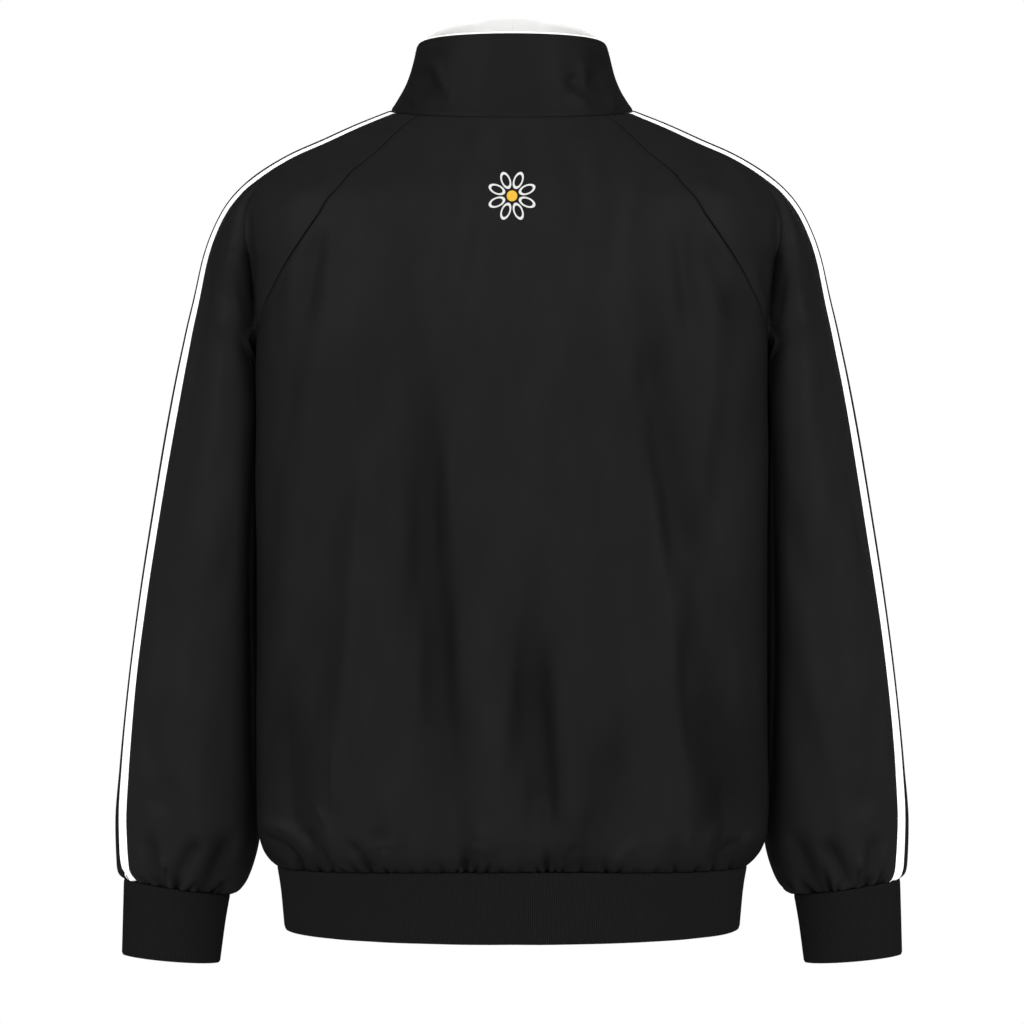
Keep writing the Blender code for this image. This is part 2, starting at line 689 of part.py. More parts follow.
def place_in_slider_frame(made):
    """Takes an object from the slider's frame, in millimetres, to its place."""
    middle, up, out = slider_frame()
    turn = Matrix((Vector((1, 0, 0)), up, out)).transposed().to_4x4()
    made.data.transform(Matrix.Scale(MM, 4))
    made.matrix_world = Matrix.Translation(middle * MM) @ turn


def make_slider():
    """Two plates round the teeth, the post that parts them, and the crown that holds the pull tab."""
    made = block("zip_slider", PLATE_HALF, (-PLATE_UP, PLATE_UP), (PLATE_BACK, PLATE_FACE), parts)
    joined = [
        block("inner_plate", PLATE_HALF, (-PLATE_UP, PLATE_UP), INNER_PLATE, cutters),
        block("post", POST_HALF, (POST_FROM, PLATE_UP - 0.3), (INNER_PLATE[1] - 0.2, PLATE_BACK + 0.2), cutters),
        block("crown_bar", CROWN_HALF, (-CROWN_UP, CROWN_UP), (CROWN_INSIDE, CROWN_TOP), cutters),
    ]
    for name, sign in (("crown_foot_up", 1), ("crown_foot_down", -1)):
        ends = sorted((sign * (CROWN_UP - CROWN_FOOT), sign * (CROWN_UP - 0.01)))
        joined.append(block(name, CROWN_HALF - 0.01, ends, (PLATE_FACE - 0.3, CROWN_INSIDE + 0.3), cutters))
    made.data.materials.append(BLACK_METAL)
    place_in_slider_frame(made)
    for piece in joined:
        place_in_slider_frame(piece)
        piece.hide_render = True
        piece.display_type = "WIRE"
        join = made.modifiers.new(piece.name, "BOOLEAN")
        join.operation = "UNION"
        join.object = piece


def make_pull():
    """A flat tab with an eye, hung on the slider's crown. Its origin is on the hinge's axis."""
    made = block("zip_pull", TAB_HALF, (-TAB_END, EYE_FROM), (-TAB_THICK / 2, TAB_THICK / 2), parts)
    eye = block("eye", EYE_HALF, (-EYE_TO, -EYE_FROM), (-TAB_THICK, TAB_THICK), cutters)
    made.data.materials.append(BLACK_METAL)
    round_end = made.modifiers.new("Rounding", "BEVEL")
    round_end.width = 1.1 * MM
    round_end.segments = 3
    round_end.limit_method = "ANGLE"
    round_end.affect = "EDGES"
    middle, up, out = slider_frame()
    for piece in (made, eye):
        place_in_slider_frame(piece)
        piece.location += (up * PIVOT_UP + out * PIVOT_OUT) * MM
    eye.hide_render = True
    eye.display_type = "WIRE"
    cut = made.modifiers.new("Eye", "BOOLEAN")
    cut.operation = "DIFFERENCE"
    cut.object = eye


cutters = bpy.data.collections.new("Cutters")
bpy.context.scene.collection.children.link(cutters)
make_back()
make_front("front_left", 1)
make_front("front_right", -1)
for side_name, hand in (("left", 1), ("right", -1)):
    sleeve = make_sleeve("sleeve_" + side_name, hand)
    make_sleeve_tapes(side_name, sleeve)
    make_cuff("cuff_" + side_name, hand)
make_collar()
make_hem()
make_zip()
make_slider()
make_pull()
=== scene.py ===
import math

import bpy
import numpy as np
from mathutils import Matrix, Vector


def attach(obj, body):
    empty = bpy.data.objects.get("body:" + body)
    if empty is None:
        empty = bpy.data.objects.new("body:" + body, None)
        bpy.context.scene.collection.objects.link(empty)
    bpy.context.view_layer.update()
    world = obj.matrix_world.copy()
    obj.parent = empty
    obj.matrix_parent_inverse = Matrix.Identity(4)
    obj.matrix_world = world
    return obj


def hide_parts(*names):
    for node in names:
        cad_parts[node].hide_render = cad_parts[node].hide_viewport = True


# The looks of a stand-collar windbreaker, filled out as when worn, with no wearer. The front faces -Y and
# the wearer's left is +X. Sizes are in millimetres, and "down" is the distance below the origin, which is
# the middle of the neck opening. Each cloth piece is a grid of points on the garment's form, pressed in and
# out by its creases, and then given its wall.
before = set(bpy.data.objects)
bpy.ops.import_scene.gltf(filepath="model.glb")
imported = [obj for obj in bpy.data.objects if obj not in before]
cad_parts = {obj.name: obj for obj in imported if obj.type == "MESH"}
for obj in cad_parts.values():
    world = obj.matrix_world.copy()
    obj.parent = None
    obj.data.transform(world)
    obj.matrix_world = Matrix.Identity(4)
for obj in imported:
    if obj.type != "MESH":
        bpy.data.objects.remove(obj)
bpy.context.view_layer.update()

# ---- Back ----------------------------------------------------------------------------------------
# One panel of black satin, with raglan edges from the collar to the underarms and straight sides below
# them. It is seamed to both sleeves and both fronts, and its lower edge is gathered on to the knitted hem.

MM = 0.001
BEHIND, BEFORE = 1, -1
SHELL = 0.9  # the satin's wall
SEAM = 0.16  # each panel stops this far from the seam
EDGE_FALL = 0.7  # a seamed edge turns in by this much
EDGE_ROUND = 1.0  # over this distance
ALLOWANCE = ((0.06, 1.7), (4.0, 2.4))  # its points' distances past the seam, and how deep they lie
FINE_STEPS = [0.7, 1.6, 2.8]  # distances of a panel's first points from a seam that it turns in at
FINE_COLUMNS = (0.9, 2.4)  # and those of a gathered panel's first columns
UNDERARM = 215.0
GATHERS_FROM = 540.0  # a panel's rows are closer together from here down
HEM_SEAM = 632.0
HEM_LIFT = 4.0  # the hem seam's middle lies above its sides


def table(columns, *rows):
    """The rows' values by column name."""
    return {name: np.array(values, float) for name, values in zip(columns.split(), zip(*rows))}


# The body's rings, from the collar seam to the hem seam. Each is a superellipse about its widest point,
# which is at mid_y.
BODY = table(
    "down half_width mid_y back_y front_y square_back square_front",
    (-3.5, 102, 2, 92, -86, 2.05, 2.05),
    (8, 131, 2, 97, -92, 2.0, 2.0),
    (21, 160, 3, 103, -99, 2.0, 2.0),
    (34, 190, 4, 108, -105, 2.1, 2.1),
    (46, 214, 5, 113, -110, 2.25, 2.2),
    (63, 229, 7, 119, -116, 2.5, 2.3),
    (84, 225, 11, 125, -122, 2.7, 2.4),
    (110, 221, 13, 131, -128, 2.85, 2.4),
    (145, 217.5, 15, 138, -132, 2.95, 2.35),
    (180, 215, 13, 142, -135, 3.0, 2.3),
    (215, 215, 12, 143, -136, 3.0, 2.3),
    (330, 215, 22, 144, -136, 3.0, 2.3),
    (450, 215, 25, 140, -134, 3.0, 2.3),
    (560, 215.5, 24, 137, -133, 2.9, 2.3),
    (600, 214.5, 22, 137, -133, 2.8, 2.3),
    (617, 210, 20, 135, -131, 2.75, 2.3),
    (627, 204.5, 18, 131, -128, 2.7, 2.3),
    (632, 199, 16, 126.5, -123, 2.7, 2.3),
)

# The raglan seams' angles round those rings, and where each section of a shoulder crosses its top line
CAP = table(
    "down back_deg front_deg over_down",
    (-3.5, 50.2, 45, -3.5),
    (10, 45.5, 41.5, 8),
    (30, 41.1, 39, 21),
    (51, 40.2, 38.5, 34),
    (70, 43.8, 42, 46),
    (89, 49.5, 47.5, 60),
    (107, 55.5, 52.5, 71),
    (124, 61.5, 57.5, 82),
    (141, 67.5, 63, 96),
    (162, 77, 69, 119),
    (186, 88.2, 75.5, 150),
)

# Creases run through three points. A positive depth is a trough and a negative one a ridge. Head and foot
# are the shares of the depth left at the two ends, and crisp ones have a sharper bottom or crest.
CREASE = "x1 down1 x2 down2 x3 down3 reach depth head foot crisp"
BACK_LARGE = table(
    CREASE,
    (76, 130, 66, 385, 52, 600, 17, 7, 0, 0.3, 0),
    (-6, 385, -20, 520, -33, 620, 17, 7, 0, 0.3, 0),
    (-112, 150, -146, 340, -182, 520, 24, 7, 0, 0, 0),
    (-138, 380, -172, 520, -186, 632, 22, 7, 0, 0.3, 0),
    (-99, 460, -84, 560, -72, 632, 15, 6, 0, 0.3, 0),
    (150, 150, 163, 380, 178, 620, 26, 7, 0, 0.2, 0),
    (118, 200, 133, 420, 146, 620, 13, -3.5, 0, 0, 0),
    (-112, 200, -130, 420, -153, 620, 13, -3, 0, 0, 0),
    (22, 420, 17, 540, 12, 640, 22, -3, 0, 0, 0),
)
BACK_CREASES = table(
    CREASE,
    # long troughs
    (62, 300, 55, 530, 40, 626, 13, 3.4, 0, 0.9, 0),
    (-14, 320, -23, 520, -31, 626, 14, 3.2, 0, 0.9, 0),
    (-82, 470, -74, 560, -62, 626, 13, 3.8, 0, 0.9, 0),
    (-160, 440, -170, 540, -180, 610, 18, 3, 0, 0.6, 0),
    (86, 118, 76, 280, 58, 500, 15, 4.2, 0.5, 0.4, 0),
    (-9, 390, -20, 490, -23, 560, 14, 1.6, 0, 0.5, 0),
    (-112, 150, -126, 290, -150, 380, 14, 4.8, 0.3, 0.3, 0),
    (-103, 112, -111, 180, -117, 240, 11, 3.0, 0, 0, 0),
    (-137, 66, -144, 126, -156, 200, 10, 4.0, 0, 0, 0.3),
    (-160, 88, -175, 128, -191, 190, 10, 3.6, 0, 0, 0.3),
    (160, 76, 166, 122, 179, 184, 10, 4.4, 0, 0, 0.3),
    (118, 130, 120, 250, 130, 420, 11, 3.4, 0.1, 0, 0),
    (188, 440, 189, 530, 184, 600, 11, 5.0, 0, 0.6, 0.4),
    (-160, 470, -178, 540, -184, 618, 16, 4.0, 0, 0.5, 0),
    (-146, 400, -148, 470, -158, 540, 9, 2.6, 0, 0, 0),
    (-135, 590, -136, 607, -136, 624, 5, 1.6, 0.2, 0.9, 0),
    (92, 250, 88, 380, 92, 480, 14, 1.3, 0, 0, 0),
    (-60, 130, -58, 260, -70, 380, 16, 1.4, 0, 0, 0),
    (30, 130, 24, 240, 30, 330, 18, 1.0, 0, 0, 0),
    # long ridges
    (111, 205, 130, 350, 144, 560, 8, -1.6, 0, 0.4, 0),
    (148, 515, 149, 552, 146, 590, 4, -1.8, 0, 0, 0),
    (-109, 205, -129, 390, -150, 575, 7, -1.6, 0, 0.4, 0),
    (-148, 585, -148, 602, -149, 622, 3, -1.2, 0, 0.4, 1),
    (64, 150, 47, 350, 38, 520, 12, -1.4, 0, 0, 0),
    (103, 150, 97, 270, 92, 400, 7, -2.0, 0, 0, 0),
    (-38, 430, -41, 540, -46, 600, 10, -1.4, 0, 0, 0),
    (-150, 250, -168, 340, -186, 440, 10, -1.6, 0, 0, 0),
    # folds above the hem's left corner
    (206, 592, 184, 600, 162, 624, 6, -3.4, 0.6, 0.5, 0),
    (206, 603, 192, 610, 178, 625, 3, 3.2, 0.8, 0.8, 1),
    (178, 590, 171, 603, 162, 620, 7, 3.2, 0.2, 0.6, 0),
    (168, 570, 156, 588, 150, 618, 3, -1.8, 0, 0.7, 1),
    (160, 606, 157, 614, 154, 625, 2.4, 2.4, 0.2, 1, 1),
    (141, 603, 130, 611, 119, 624, 4, 2.6, 0.2, 0.9, 0),
    (115, 588, 113, 597, 111, 606, 11, 2.4, 0.5, 0.5, 0),
    (107, 607, 107, 614, 107, 624, 4, -1.8, 0.3, 0.8, 0),
    # and along the rest of it
    (31, 586, 22, 600, 22, 622, 9, -2.2, 0.1, 0.5, 0),
    (37, 612, 30, 606, 14, 612, 4, -1.2, 0, 0, 0),
    (-35, 610, -46, 623, -62, 590, 3, -1.7, 0.2, 0, 1),
    (-57, 600, -51, 612, -47, 625, 4, 2.2, 0.1, 1, 0),
    (-82, 624, -93, 613, -106, 598, 5, -2.0, 0.5, 0, 0),
    (-160, 622, -169, 601, -182, 584, 6, -1.9, 0.5, 0, 0),
    (-193, 614, -199, 606, -206, 598, 4, -1.7, 0.4, 0.3, 0),
    (-172, 622, -184, 611, -196, 604, 4, 1.9, 0.9, 0.1, 0),
)

# Small gathers at the hem seam. Lean is how far a gather has moved sideways where it ends.
GATHER = "at lean reach length depth"
BACK_GATHERS = table(
    GATHER,
    (176, 9, 2.4, 24, 2.4),
    (161, 3, 1.7, 12, 2.4),
    (151, -2, 1.8, 20, 2.2),
    (141, 4, 1.7, 8, 1.6),
    (130, 6, 2.2, 13, 1.4),
    (118, 11, 2.2, 22, 2.4),
    (104.5, 2, 1.5, 9, 2.8),
    (98, -2, 1.6, 6, 1.4),
    (84, 2, 2.5, 12, 1.0),
    (72, -2, 2, 8, 1.4),
    (58, 3, 2.6, 14, 1.4),
    (46, -4, 1.7, 12, 2.7),
    (38.5, 3, 2.4, 28, 3.0),
    (31, -2, 1.6, 10, 2.6),
    (21.5, -4, 1.8, 16, 2.8),
    (9, 2, 2.6, 9, 1.3),
    (-6, 1, 2.2, 12, 1.0),
    (-22.5, 3, 1.6, 10, 2.2),
    (-29.5, 1, 1.9, 24, 3.0),
    (-36, -1, 1.5, 9, 2.3),
    (-42, -2, 1.8, 10, 1.6),
    (-58, -3, 2.2, 16, 1.6),
    (-79, 3, 1.8, 18, 2.5),
    (-89, -4, 1.7, 11, 2.2),
    (-104, 3, 2, 9, 1.1),
    (-120, -2, 2.4, 13, 1.4),
    (-137, 1, 1.8, 14, 2.5),
    (-153.5, -3, 1.7, 12, 2.3),
    (-168.5, -7, 1.9, 16, 2.5),
    (-184, -5, 2.2, 14, 2.0),
)


def cubic(t):
    """The shares, along a cubic curve, of its start, the slope there, its end and the slope there."""
    return (1 + 2 * t) * (1 - t) ** 2, t * (1 - t) ** 2, t * t * (3 - 2 * t), t * t * (t - 1)


def smooth(rows, column, at, key="down"):
    """A column read between its rows, by a cubic curve that never overshoots them."""
    x, y = rows[key], rows[column]
    at = np.clip(at, x[0], x[-1])
    step = np.diff(x)
    rise = np.diff(y) / step
    slope = np.empty_like(y)
    slope[0], slope[-1] = rise[0], rise[-1]
    before, after = rise[:-1], rise[1:]
    same_way = before * after > 0
    weight_before = (2 * step[1:] + step[:-1]) / np.where(same_way, before, 1.0)
    weight_after = (step[1:] + 2 * step[:-1]) / np.where(same_way, after, 1.0)
    mean = 3 * (step[1:] + step[:-1]) / np.where(same_way, weight_before + weight_after, 1.0)
    slope[1:-1] = np.where(same_way, mean, 0.0)
    i = np.clip(np.searchsorted(x, at) - 1, 0, len(step) - 1)
    start, leave, end, arrive = cubic((at - x[i]) / step[i])
    return start * y[i] + leave * step[i] * slope[i] + end * y[i + 1] + arrive * step[i] * slope[i + 1]


def ease(t):
    """From 0 to 1, level at both ends."""
    t = np.clip(t, 0, 1)
    return t * t * (3 - 2 * t)


def near(distance, reach):
    """1 on a line, fading with the distance from it over a reach."""
    return np.exp(-((distance / reach) ** 2))


HEAD_SHARE, FOOT_SHARE = 0.42, 0.34  # how much of a crease's length it takes to reach its full depth


def pressed(creases, x, down):
    """How far creases press the cloth in, at x and down: the nearest point of each one's curve is found."""
    total = np.zeros(np.broadcast(x, down).shape)
    for x1, down1, x2, down2, x3, down3, reach, depth, head, foot, crisp in zip(*creases.values()):
        t = np.linspace(0, 1, 13)
        bend_x, bend_down = 2 * x2 - (x1 + x3) / 2, 2 * down2 - (down1 + down3) / 2
        line_x = (1 - t) ** 2 * x1 + 2 * t * (1 - t) * bend_x + t * t * x3
        line_down = (1 - t) ** 2 * down1 + 2 * t * (1 - t) * bend_down + t * t * down3
        nearest, along = np.full(total.shape, 1e9), np.zeros(total.shape)
        for i in range(len(t) - 1):
            way_x, way_down = line_x[i + 1] - line_x[i], line_down[i + 1] - line_down[i]
            share = ((x - line_x[i]) * way_x + (down - line_down[i]) * way_down) / (way_x**2 + way_down**2)
            share = np.clip(share, 0, 1)
            gap = (x - line_x[i] - share * way_x) ** 2 + (down - line_down[i] - share * way_down) ** 2
            closer = gap < nearest
            nearest = np.where(closer, gap, nearest)
            along = np.where(closer, t[i] + share * (t[1] - t[0]), along)
        strength = head + (1 - head) * ease(along / HEAD_SHARE)
        strength = strength * (foot + (1 - foot) * ease((1 - along) / FOOT_SHARE))
        total += depth * strength * np.exp(-((np.sqrt(nearest) / reach) ** (2 - 0.8 * crisp)))
    return total


def gathered(gathers, at, height):
    """How far gathers press the cloth in, at a place along a seam and a height from it."""
    total = np.zeros(np.broadcast(at, height).shape)
    for place, lean, reach, length, depth in zip(*gathers.values()):
        # A trough that widens and fades away from the seam, with a lower ridge on one side of it
        share = np.clip(height / length, 0, 1)
        width = 0.85 * reach * (1 + 1.6 * share)
        aside = at - place - lean * share
        total += 1.7 * depth * (1 - share) ** 1.3 * np.exp(-((np.abs(aside) / width) ** 1.5))
        total -= 0.7 * depth * (1 - share) ** 1.3 * near(aside - 2.1 * width, 1.3 * width)
    return total


def swells(x, down, seed):
    """The broad, very shallow unevenness of filled-out cloth."""
    waves = np.random.default_rng(seed)
    total = np.zeros(np.broadcast(x, down).shape)
    for length_x, length_down, height in (
        (61, 310, 0.42),
        (47, 420, 0.4),
        (34, 230, 0.24),
        (83, 150, 0.34),
        (26, 170, 0.13),
        (52, 97, 0.14),
    ):
        turn = waves.uniform(0, 2 * math.pi)
        tilt = waves.choice((-1, 1))
        total += height * np.sin(2 * math.pi * (x / length_x + tilt * down / length_down) + turn)
    return total


def body_out(rows, x, down, side, large=None):
    """How far the body's surface lies behind, or for side BEFORE before, y = 0."""
    half = smooth(rows, "half_width", down)
    mid = side * smooth(rows, "mid_y", down)
    far = side * smooth(rows, "back_y" if side == BEHIND else "front_y", down)
    square = smooth(rows, "square_back" if side == BEHIND else "square_front", down)
    share = np.clip(np.abs(x) / half, 0, 1)
    out = mid + (far - mid) * (1 - share**square) ** (1 / square)
    if large is not None:
        # Large folds fade out at the body's sides
        out = out - np.clip((1 - share) * 6, 0, 1) * pressed(large, x, down)
    return out - 3 * np.maximum(np.abs(x) - half, 0)


def body_points(angle, down, side, hand=1, rows=BODY, large=None):
    """Points of the body's rings, at angles from the middle of its back or front."""
    x = hand * smooth(rows, "half_width", down) * np.sin(angle)
    if "lift" in rows:
        lift = smooth(rows, "lift", down)
    else:
        lift = HEM_LIFT * np.clip((down - GATHERS_FROM) / (HEM_SEAM - GATHERS_FROM), 0, 1)
    lift = lift * np.cos(angle) ** 2
    return np.stack([x, side * body_out(rows, x, down, side, large), lift - down], -1)


def seam_angle(down, side):
    """The raglan seam's angle round the body, or the side seam's below the underarm."""
    raglan = np.radians(smooth(CAP, "back_deg" if side == BEHIND else "front_deg", down))
    last = CAP["down"][-1]
    return raglan + (math.pi / 2 - raglan) * np.clip((down - last) / (UNDERARM - last), 0, 1)


def arc_lengths(points, axis=0):
    """Each point's distance from the start of its line, along a line or along one axis of a grid."""
    steps = np.linalg.norm(np.diff(points, axis=axis), axis=-1)
    start = np.zeros_like(steps.take([0], axis))
    return np.concatenate([start, np.cumsum(steps, axis=axis)], axis=axis)


def stations(length, count, fine_start=True, fine_end=True):
    """So many distances along an edge: even steps, with finer ones where the cloth turns in at a seam."""
    before = [0, *FINE_STEPS] if fine_start else [0]
    after = [length - step for step in (*FINE_STEPS[::-1], 0)] if fine_end else [length]
    even = np.linspace(before[-1], after[0], count - len(before) - len(after) + 2)
    return np.array(before[:-1] + list(even) + after[1:])


def drawn_close(length, places, count):
    """Shares of an edge's length for a panel's columns, which are closer together at its gathers."""
    at = np.linspace(0, length, 4000)
    density = 1 + 2.4 * np.clip(np.sum(near(at - places[:, None], 3.4), axis=0), 0, 1)
    passed = np.cumsum(density)
    return np.interp(np.linspace(0, 1, count), (passed - passed[0]) / (passed[-1] - passed[0]), at / length)


def read_along(values, length, at):
    """The values of a line's points, read at places along its length."""
    return np.stack([np.interp(at, length, axis) for axis in values.T], -1)


def spread(line, at):
    """The points of a line at the given distances from its start."""
    return read_along(line, arc_lengths(line), at)


def panel_rows(upper, lower):
    """Distances down of a panel's rows, so many from the collar seam and so many over the hem's gathers."""
    neck = CAP["down"][0]
    above = neck + stations(GATHERS_FROM - neck, upper, fine_end=False)
    below = GATHERS_FROM + stations(HEM_SEAM - GATHERS_FROM, lower, fine_start=False)
    return np.concatenate([above, below[1:]])


def panel_grid(lines, places, columns, start):
    """A panel's grid through its rows' outlines, with columns closer together at the gathers' places. It
    stops short of the seam at its last edge, and by start at its first one."""
    first, second = FINE_COLUMNS
    shares = drawn_close(arc_lengths(lines[-1])[-1], places, columns - 4)
    grid = []
    for line in lines:
        length = arc_lengths(line)[-1] - (start + SEAM)
        at = second + shares * (length - 2 * second)
        grid.append(spread(line, start + np.concatenate([[0, first], at, [length - first, length]])))
    return np.array(grid)


def outward(grid, closed=False):
    """Unit normals of a grid's points, away from the middle of each row."""
    across, along = np.gradient(grid, axis=1), np.gradient(grid, axis=0)
    if closed:
        across[:, 0] = across[:, -1] = (grid[:, 1] - grid[:, -2]) / 2
    normals = np.cross(across, along)
    normals /= np.maximum(np.linalg.norm(normals, axis=-1, keepdims=True), 1e-9)
    away = grid - grid.mean(axis=1, keepdims=True)
    return normals if np.sum(normals * away) > 0 else -normals


def from_edges(grid, sides="nesw"):
    """Each point's distance from a grid's nearest edge, where n is its first row and w its first column."""
    u, v = arc_lengths(grid, 1), arc_lengths(grid, 0)
    distances = {"n": v, "s": v[-1:] - v, "w": u, "e": u[:, -1:] - u}
    return np.min([distances[s] for s in sides], axis=0)


def levelled(normals, height):
    """Normals made level beside a gathered edge, so that gathers leave no hole along it."""
    flat = normals * (1, 1, 0)
    flat /= np.maximum(np.linalg.norm(flat, axis=-1, keepdims=True), 1e-9)
    share = near(height, 8)[..., None]
    mixed = flat * share + normals * (1 - share)
    return mixed / np.linalg.norm(mixed, axis=-1, keepdims=True)


def turned_in(distance):
    """How far a seamed edge falls, at a distance from it."""
    return EDGE_FALL * near(distance, EDGE_ROUND)


def in_folds(large, small):
    """How deep in a fold each point lies, from 0 to 1, which sets the painted shade there."""
    return np.clip(large / 11 + np.clip(small / 3.5, 0, 0.8), 0, 1)


def dusk(creases, large, x, down):
    """The shade in a panel's creases and large folds, which reaches further than they do."""
    wide, wide_large = ({**rows, "reach": rows["reach"] * 1.5 + 2} for rows in (creases, large))
    return pressed(wide, x, down) + 0.45 * pressed(wide_large, x, down)


def seam_dusk(distance):
    """The shade where the cloth turns in, at a distance from a seam."""
    return 0.55 * near(distance, 1.1)


def with_allowance(grid, normals, ends):
    """A panel's grid with its seam allowances, which go in at the seam and lie behind the next panel."""
    for end in ends:
        edge, inner, out = grid[:, end], grid[:, 3 if end == 0 else -4], normals[:, end]
        beyond = edge - inner
        beyond /= np.linalg.norm(beyond, axis=-1, keepdims=True)
        beside = [edge + beyond * past - out * under for past, under in ALLOWANCE]
        extra = np.stack(beside[::-1] if end == 0 else beside, 1)
        grid = np.concatenate([extra, grid] if end == 0 else [grid, extra], axis=1)
    return grid


def deselect():
    """Leaves nothing selected."""
    for other in bpy.context.selected_objects:
        other.select_set(False)


def cloth(name, grid, look, wall, joined_from=None, u=None, shade=None):
    """A panel through a grid of points in millimetres, with a UV map in metres and its wall added inwards.
    Rows from joined_from on are rings, whose last point is their first."""
    rows, columns = grid.shape[:2]
    if u is None:
        u = arc_lengths(grid, 1)
        u = u - u[:, columns // 2 : columns // 2 + 1]
    v = -arc_lengths(grid[:, columns // 2])[:, None]
    uv = np.stack(np.broadcast_arrays(u, v), -1).reshape(-1, 2) * MM
    index = np.arange(rows * columns).reshape(rows, columns)
    welded = index.copy()
    if joined_from is not None:
        welded[joined_from:, -1] = index[joined_from:, 0]
    used, place = np.unique(welded, return_inverse=True)
    place = place.reshape(rows, columns)
    corners = [index[:-1, :-1], index[:-1, 1:], index[1:, 1:], index[1:, :-1]]
    normals = np.cross(np.gradient(grid, axis=1), np.gradient(grid, axis=0))
    if np.sum(normals * (grid - grid.mean(axis=1, keepdims=True))) < 0:
        corners = corners[::-1]
    corners = np.stack([c.ravel() for c in corners], -1)
    mesh = bpy.data.meshes.new(name)
    mesh.from_pydata((grid.reshape(-1, 3)[used] * MM).tolist(), [], place.ravel()[corners].tolist())
    mesh.uv_layers.new(name="cloth").data.foreach_set("uv", uv[corners.ravel()].ravel())
    mesh.materials.append(look)
    if shade is not None:
        mesh.attributes.new("shade", "FLOAT", "POINT").data.foreach_set("value", shade.ravel()[used])
    made = bpy.data.objects.new(name, mesh)
    bpy.context.scene.collection.objects.link(made)
    deselect()
    made.select_set(True)
    bpy.context.view_layer.objects.active = made
    shell = made.modifiers.new("Wall", "SOLIDIFY")
    shell.thickness = wall * MM
    shell.offset = -1
    bpy.ops.object.modifier_apply(modifier="Wall")
    made.data.shade_smooth()
    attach(made, "jacket")
    return made


def node(tree, kind, inputs=(), **settings):
    """A shader node with its settings, and its inputs as values or as sockets to link."""
    made = tree.nodes.new(kind)
    for name, value in settings.items():
        setattr(made, name, value)
    for socket, value in dict(inputs).items():
        if isinstance(value, bpy.types.NodeSocket):
            tree.links.new(value, made.inputs[socket])
        else:
            made.inputs[socket].default_value = value
    return made


def maths(tree, operation, first, second=0.0):
    """A Math node's result."""
    return node(tree, "ShaderNodeMath", {0: first, 1: second}, operation=operation).outputs[0]


def remapped(tree, value, before, after, **settings):
    """A value carried from one range to another."""
    ends = {"From Min": before[0], "From Max": before[1], "To Min": after[0], "To Max": after[1]}
    return node(tree, "ShaderNodeMapRange", {"Value": value, **ends}, **settings).outputs[0]


def noise(tree, place, scale, detail=2.0):
    """A noise at a place, mostly between 0.3 and 0.7."""
    settings = {"Vector": place, "Scale": scale, "Detail": detail}
    return node(tree, "ShaderNodeTexNoise", settings).outputs["Fac"]


def bumped(tree, shader, height, strength, distance):
    """Raises a material's surface by a height."""
    bump = node(tree, "ShaderNodeBump", {"Height": height, "Strength": strength, "Distance": distance})
    tree.links.new(bump.outputs["Normal"], shader.inputs["Normal"])


def finish_material(name, colour, roughness, specular=0.5, sheen=0.0, metallic=0.0):
    """A Principled material, with its tree and shader."""
    made = bpy.data.materials.new(name)
    made.use_nodes = True
    shader = made.node_tree.nodes["Principled BSDF"]
    shader.inputs["Base Color"].default_value = (*colour, 1)
    shader.inputs["Roughness"].default_value = roughness
    shader.inputs["Specular IOR Level"].default_value = specular
    shader.inputs["Sheen Weight"].default_value = sheen
    shader.inputs["Sheen Roughness"].default_value = 0.4
    shader.inputs["Metallic"].default_value = metallic
    return made, made.node_tree, shader


# A woven face: threads over and under, and threads of slightly uneven thickness
weave = bpy.data.node_groups.new("Woven threads", "ShaderNodeTree")
weave.interface.new_socket("Pitch", in_out="INPUT", socket_type="NodeSocketFloat").default_value = 0.5
weave.interface.new_socket("Slubs", in_out="INPUT", socket_type="NodeSocketFloat").default_value = 0.3
weave.interface.new_socket("Height", in_out="OUTPUT", socket_type="NodeSocketFloat")
group_in, group_out = weave.nodes.new("NodeGroupInput"), weave.nodes.new("NodeGroupOutput")
flat_place = node(weave, "ShaderNodeUVMap", uv_map="cloth").outputs["UV"]
split = node(weave, "ShaderNodeSeparateXYZ", {"Vector": flat_place})
turns = maths(weave, "DIVIDE", 2 * math.pi / MM, group_in.outputs["Pitch"])
warp = maths(weave, "SINE", maths(weave, "MULTIPLY", split.outputs["X"], turns))
weft = maths(weave, "SINE", maths(weave, "MULTIPLY", split.outputs["Y"], turns))
over_under = maths(weave, "MULTIPLY", warp, weft)
stretched = node(weave, "ShaderNodeMapping", {"Vector": flat_place, "Scale": (2600, 130, 1)}).outputs[0]
raised = maths(weave, "MULTIPLY", noise(weave, stretched, 1.0), group_in.outputs["Slubs"])
woven = maths(weave, "ADD", maths(weave, "MULTIPLY", over_under, 0.5), raised)
weave.links.new(woven, group_out.inputs["Height"])


def woven_bump(tree, shader, pitch, slubs, strength):
    """Raises the threads of a weave on a material."""
    threads = node(tree, "ShaderNodeGroup")
    threads.node_tree = weave
    threads.inputs["Pitch"].default_value = pitch
    threads.inputs["Slubs"].default_value = slubs
    bumped(tree, shader, threads.outputs["Height"], strength, 0.00012)


SATIN_TONE = (0.0074, 0.0086)  # its darkest and its lightest streaks
SATIN_ROUGHNESS = (0.42, 0.48)
# Painted shade: deep in a fold the satin keeps only this share of its tone
PAINTED_SHADE_TONE = 0.58  # the share of the tone that is left deep in a fold


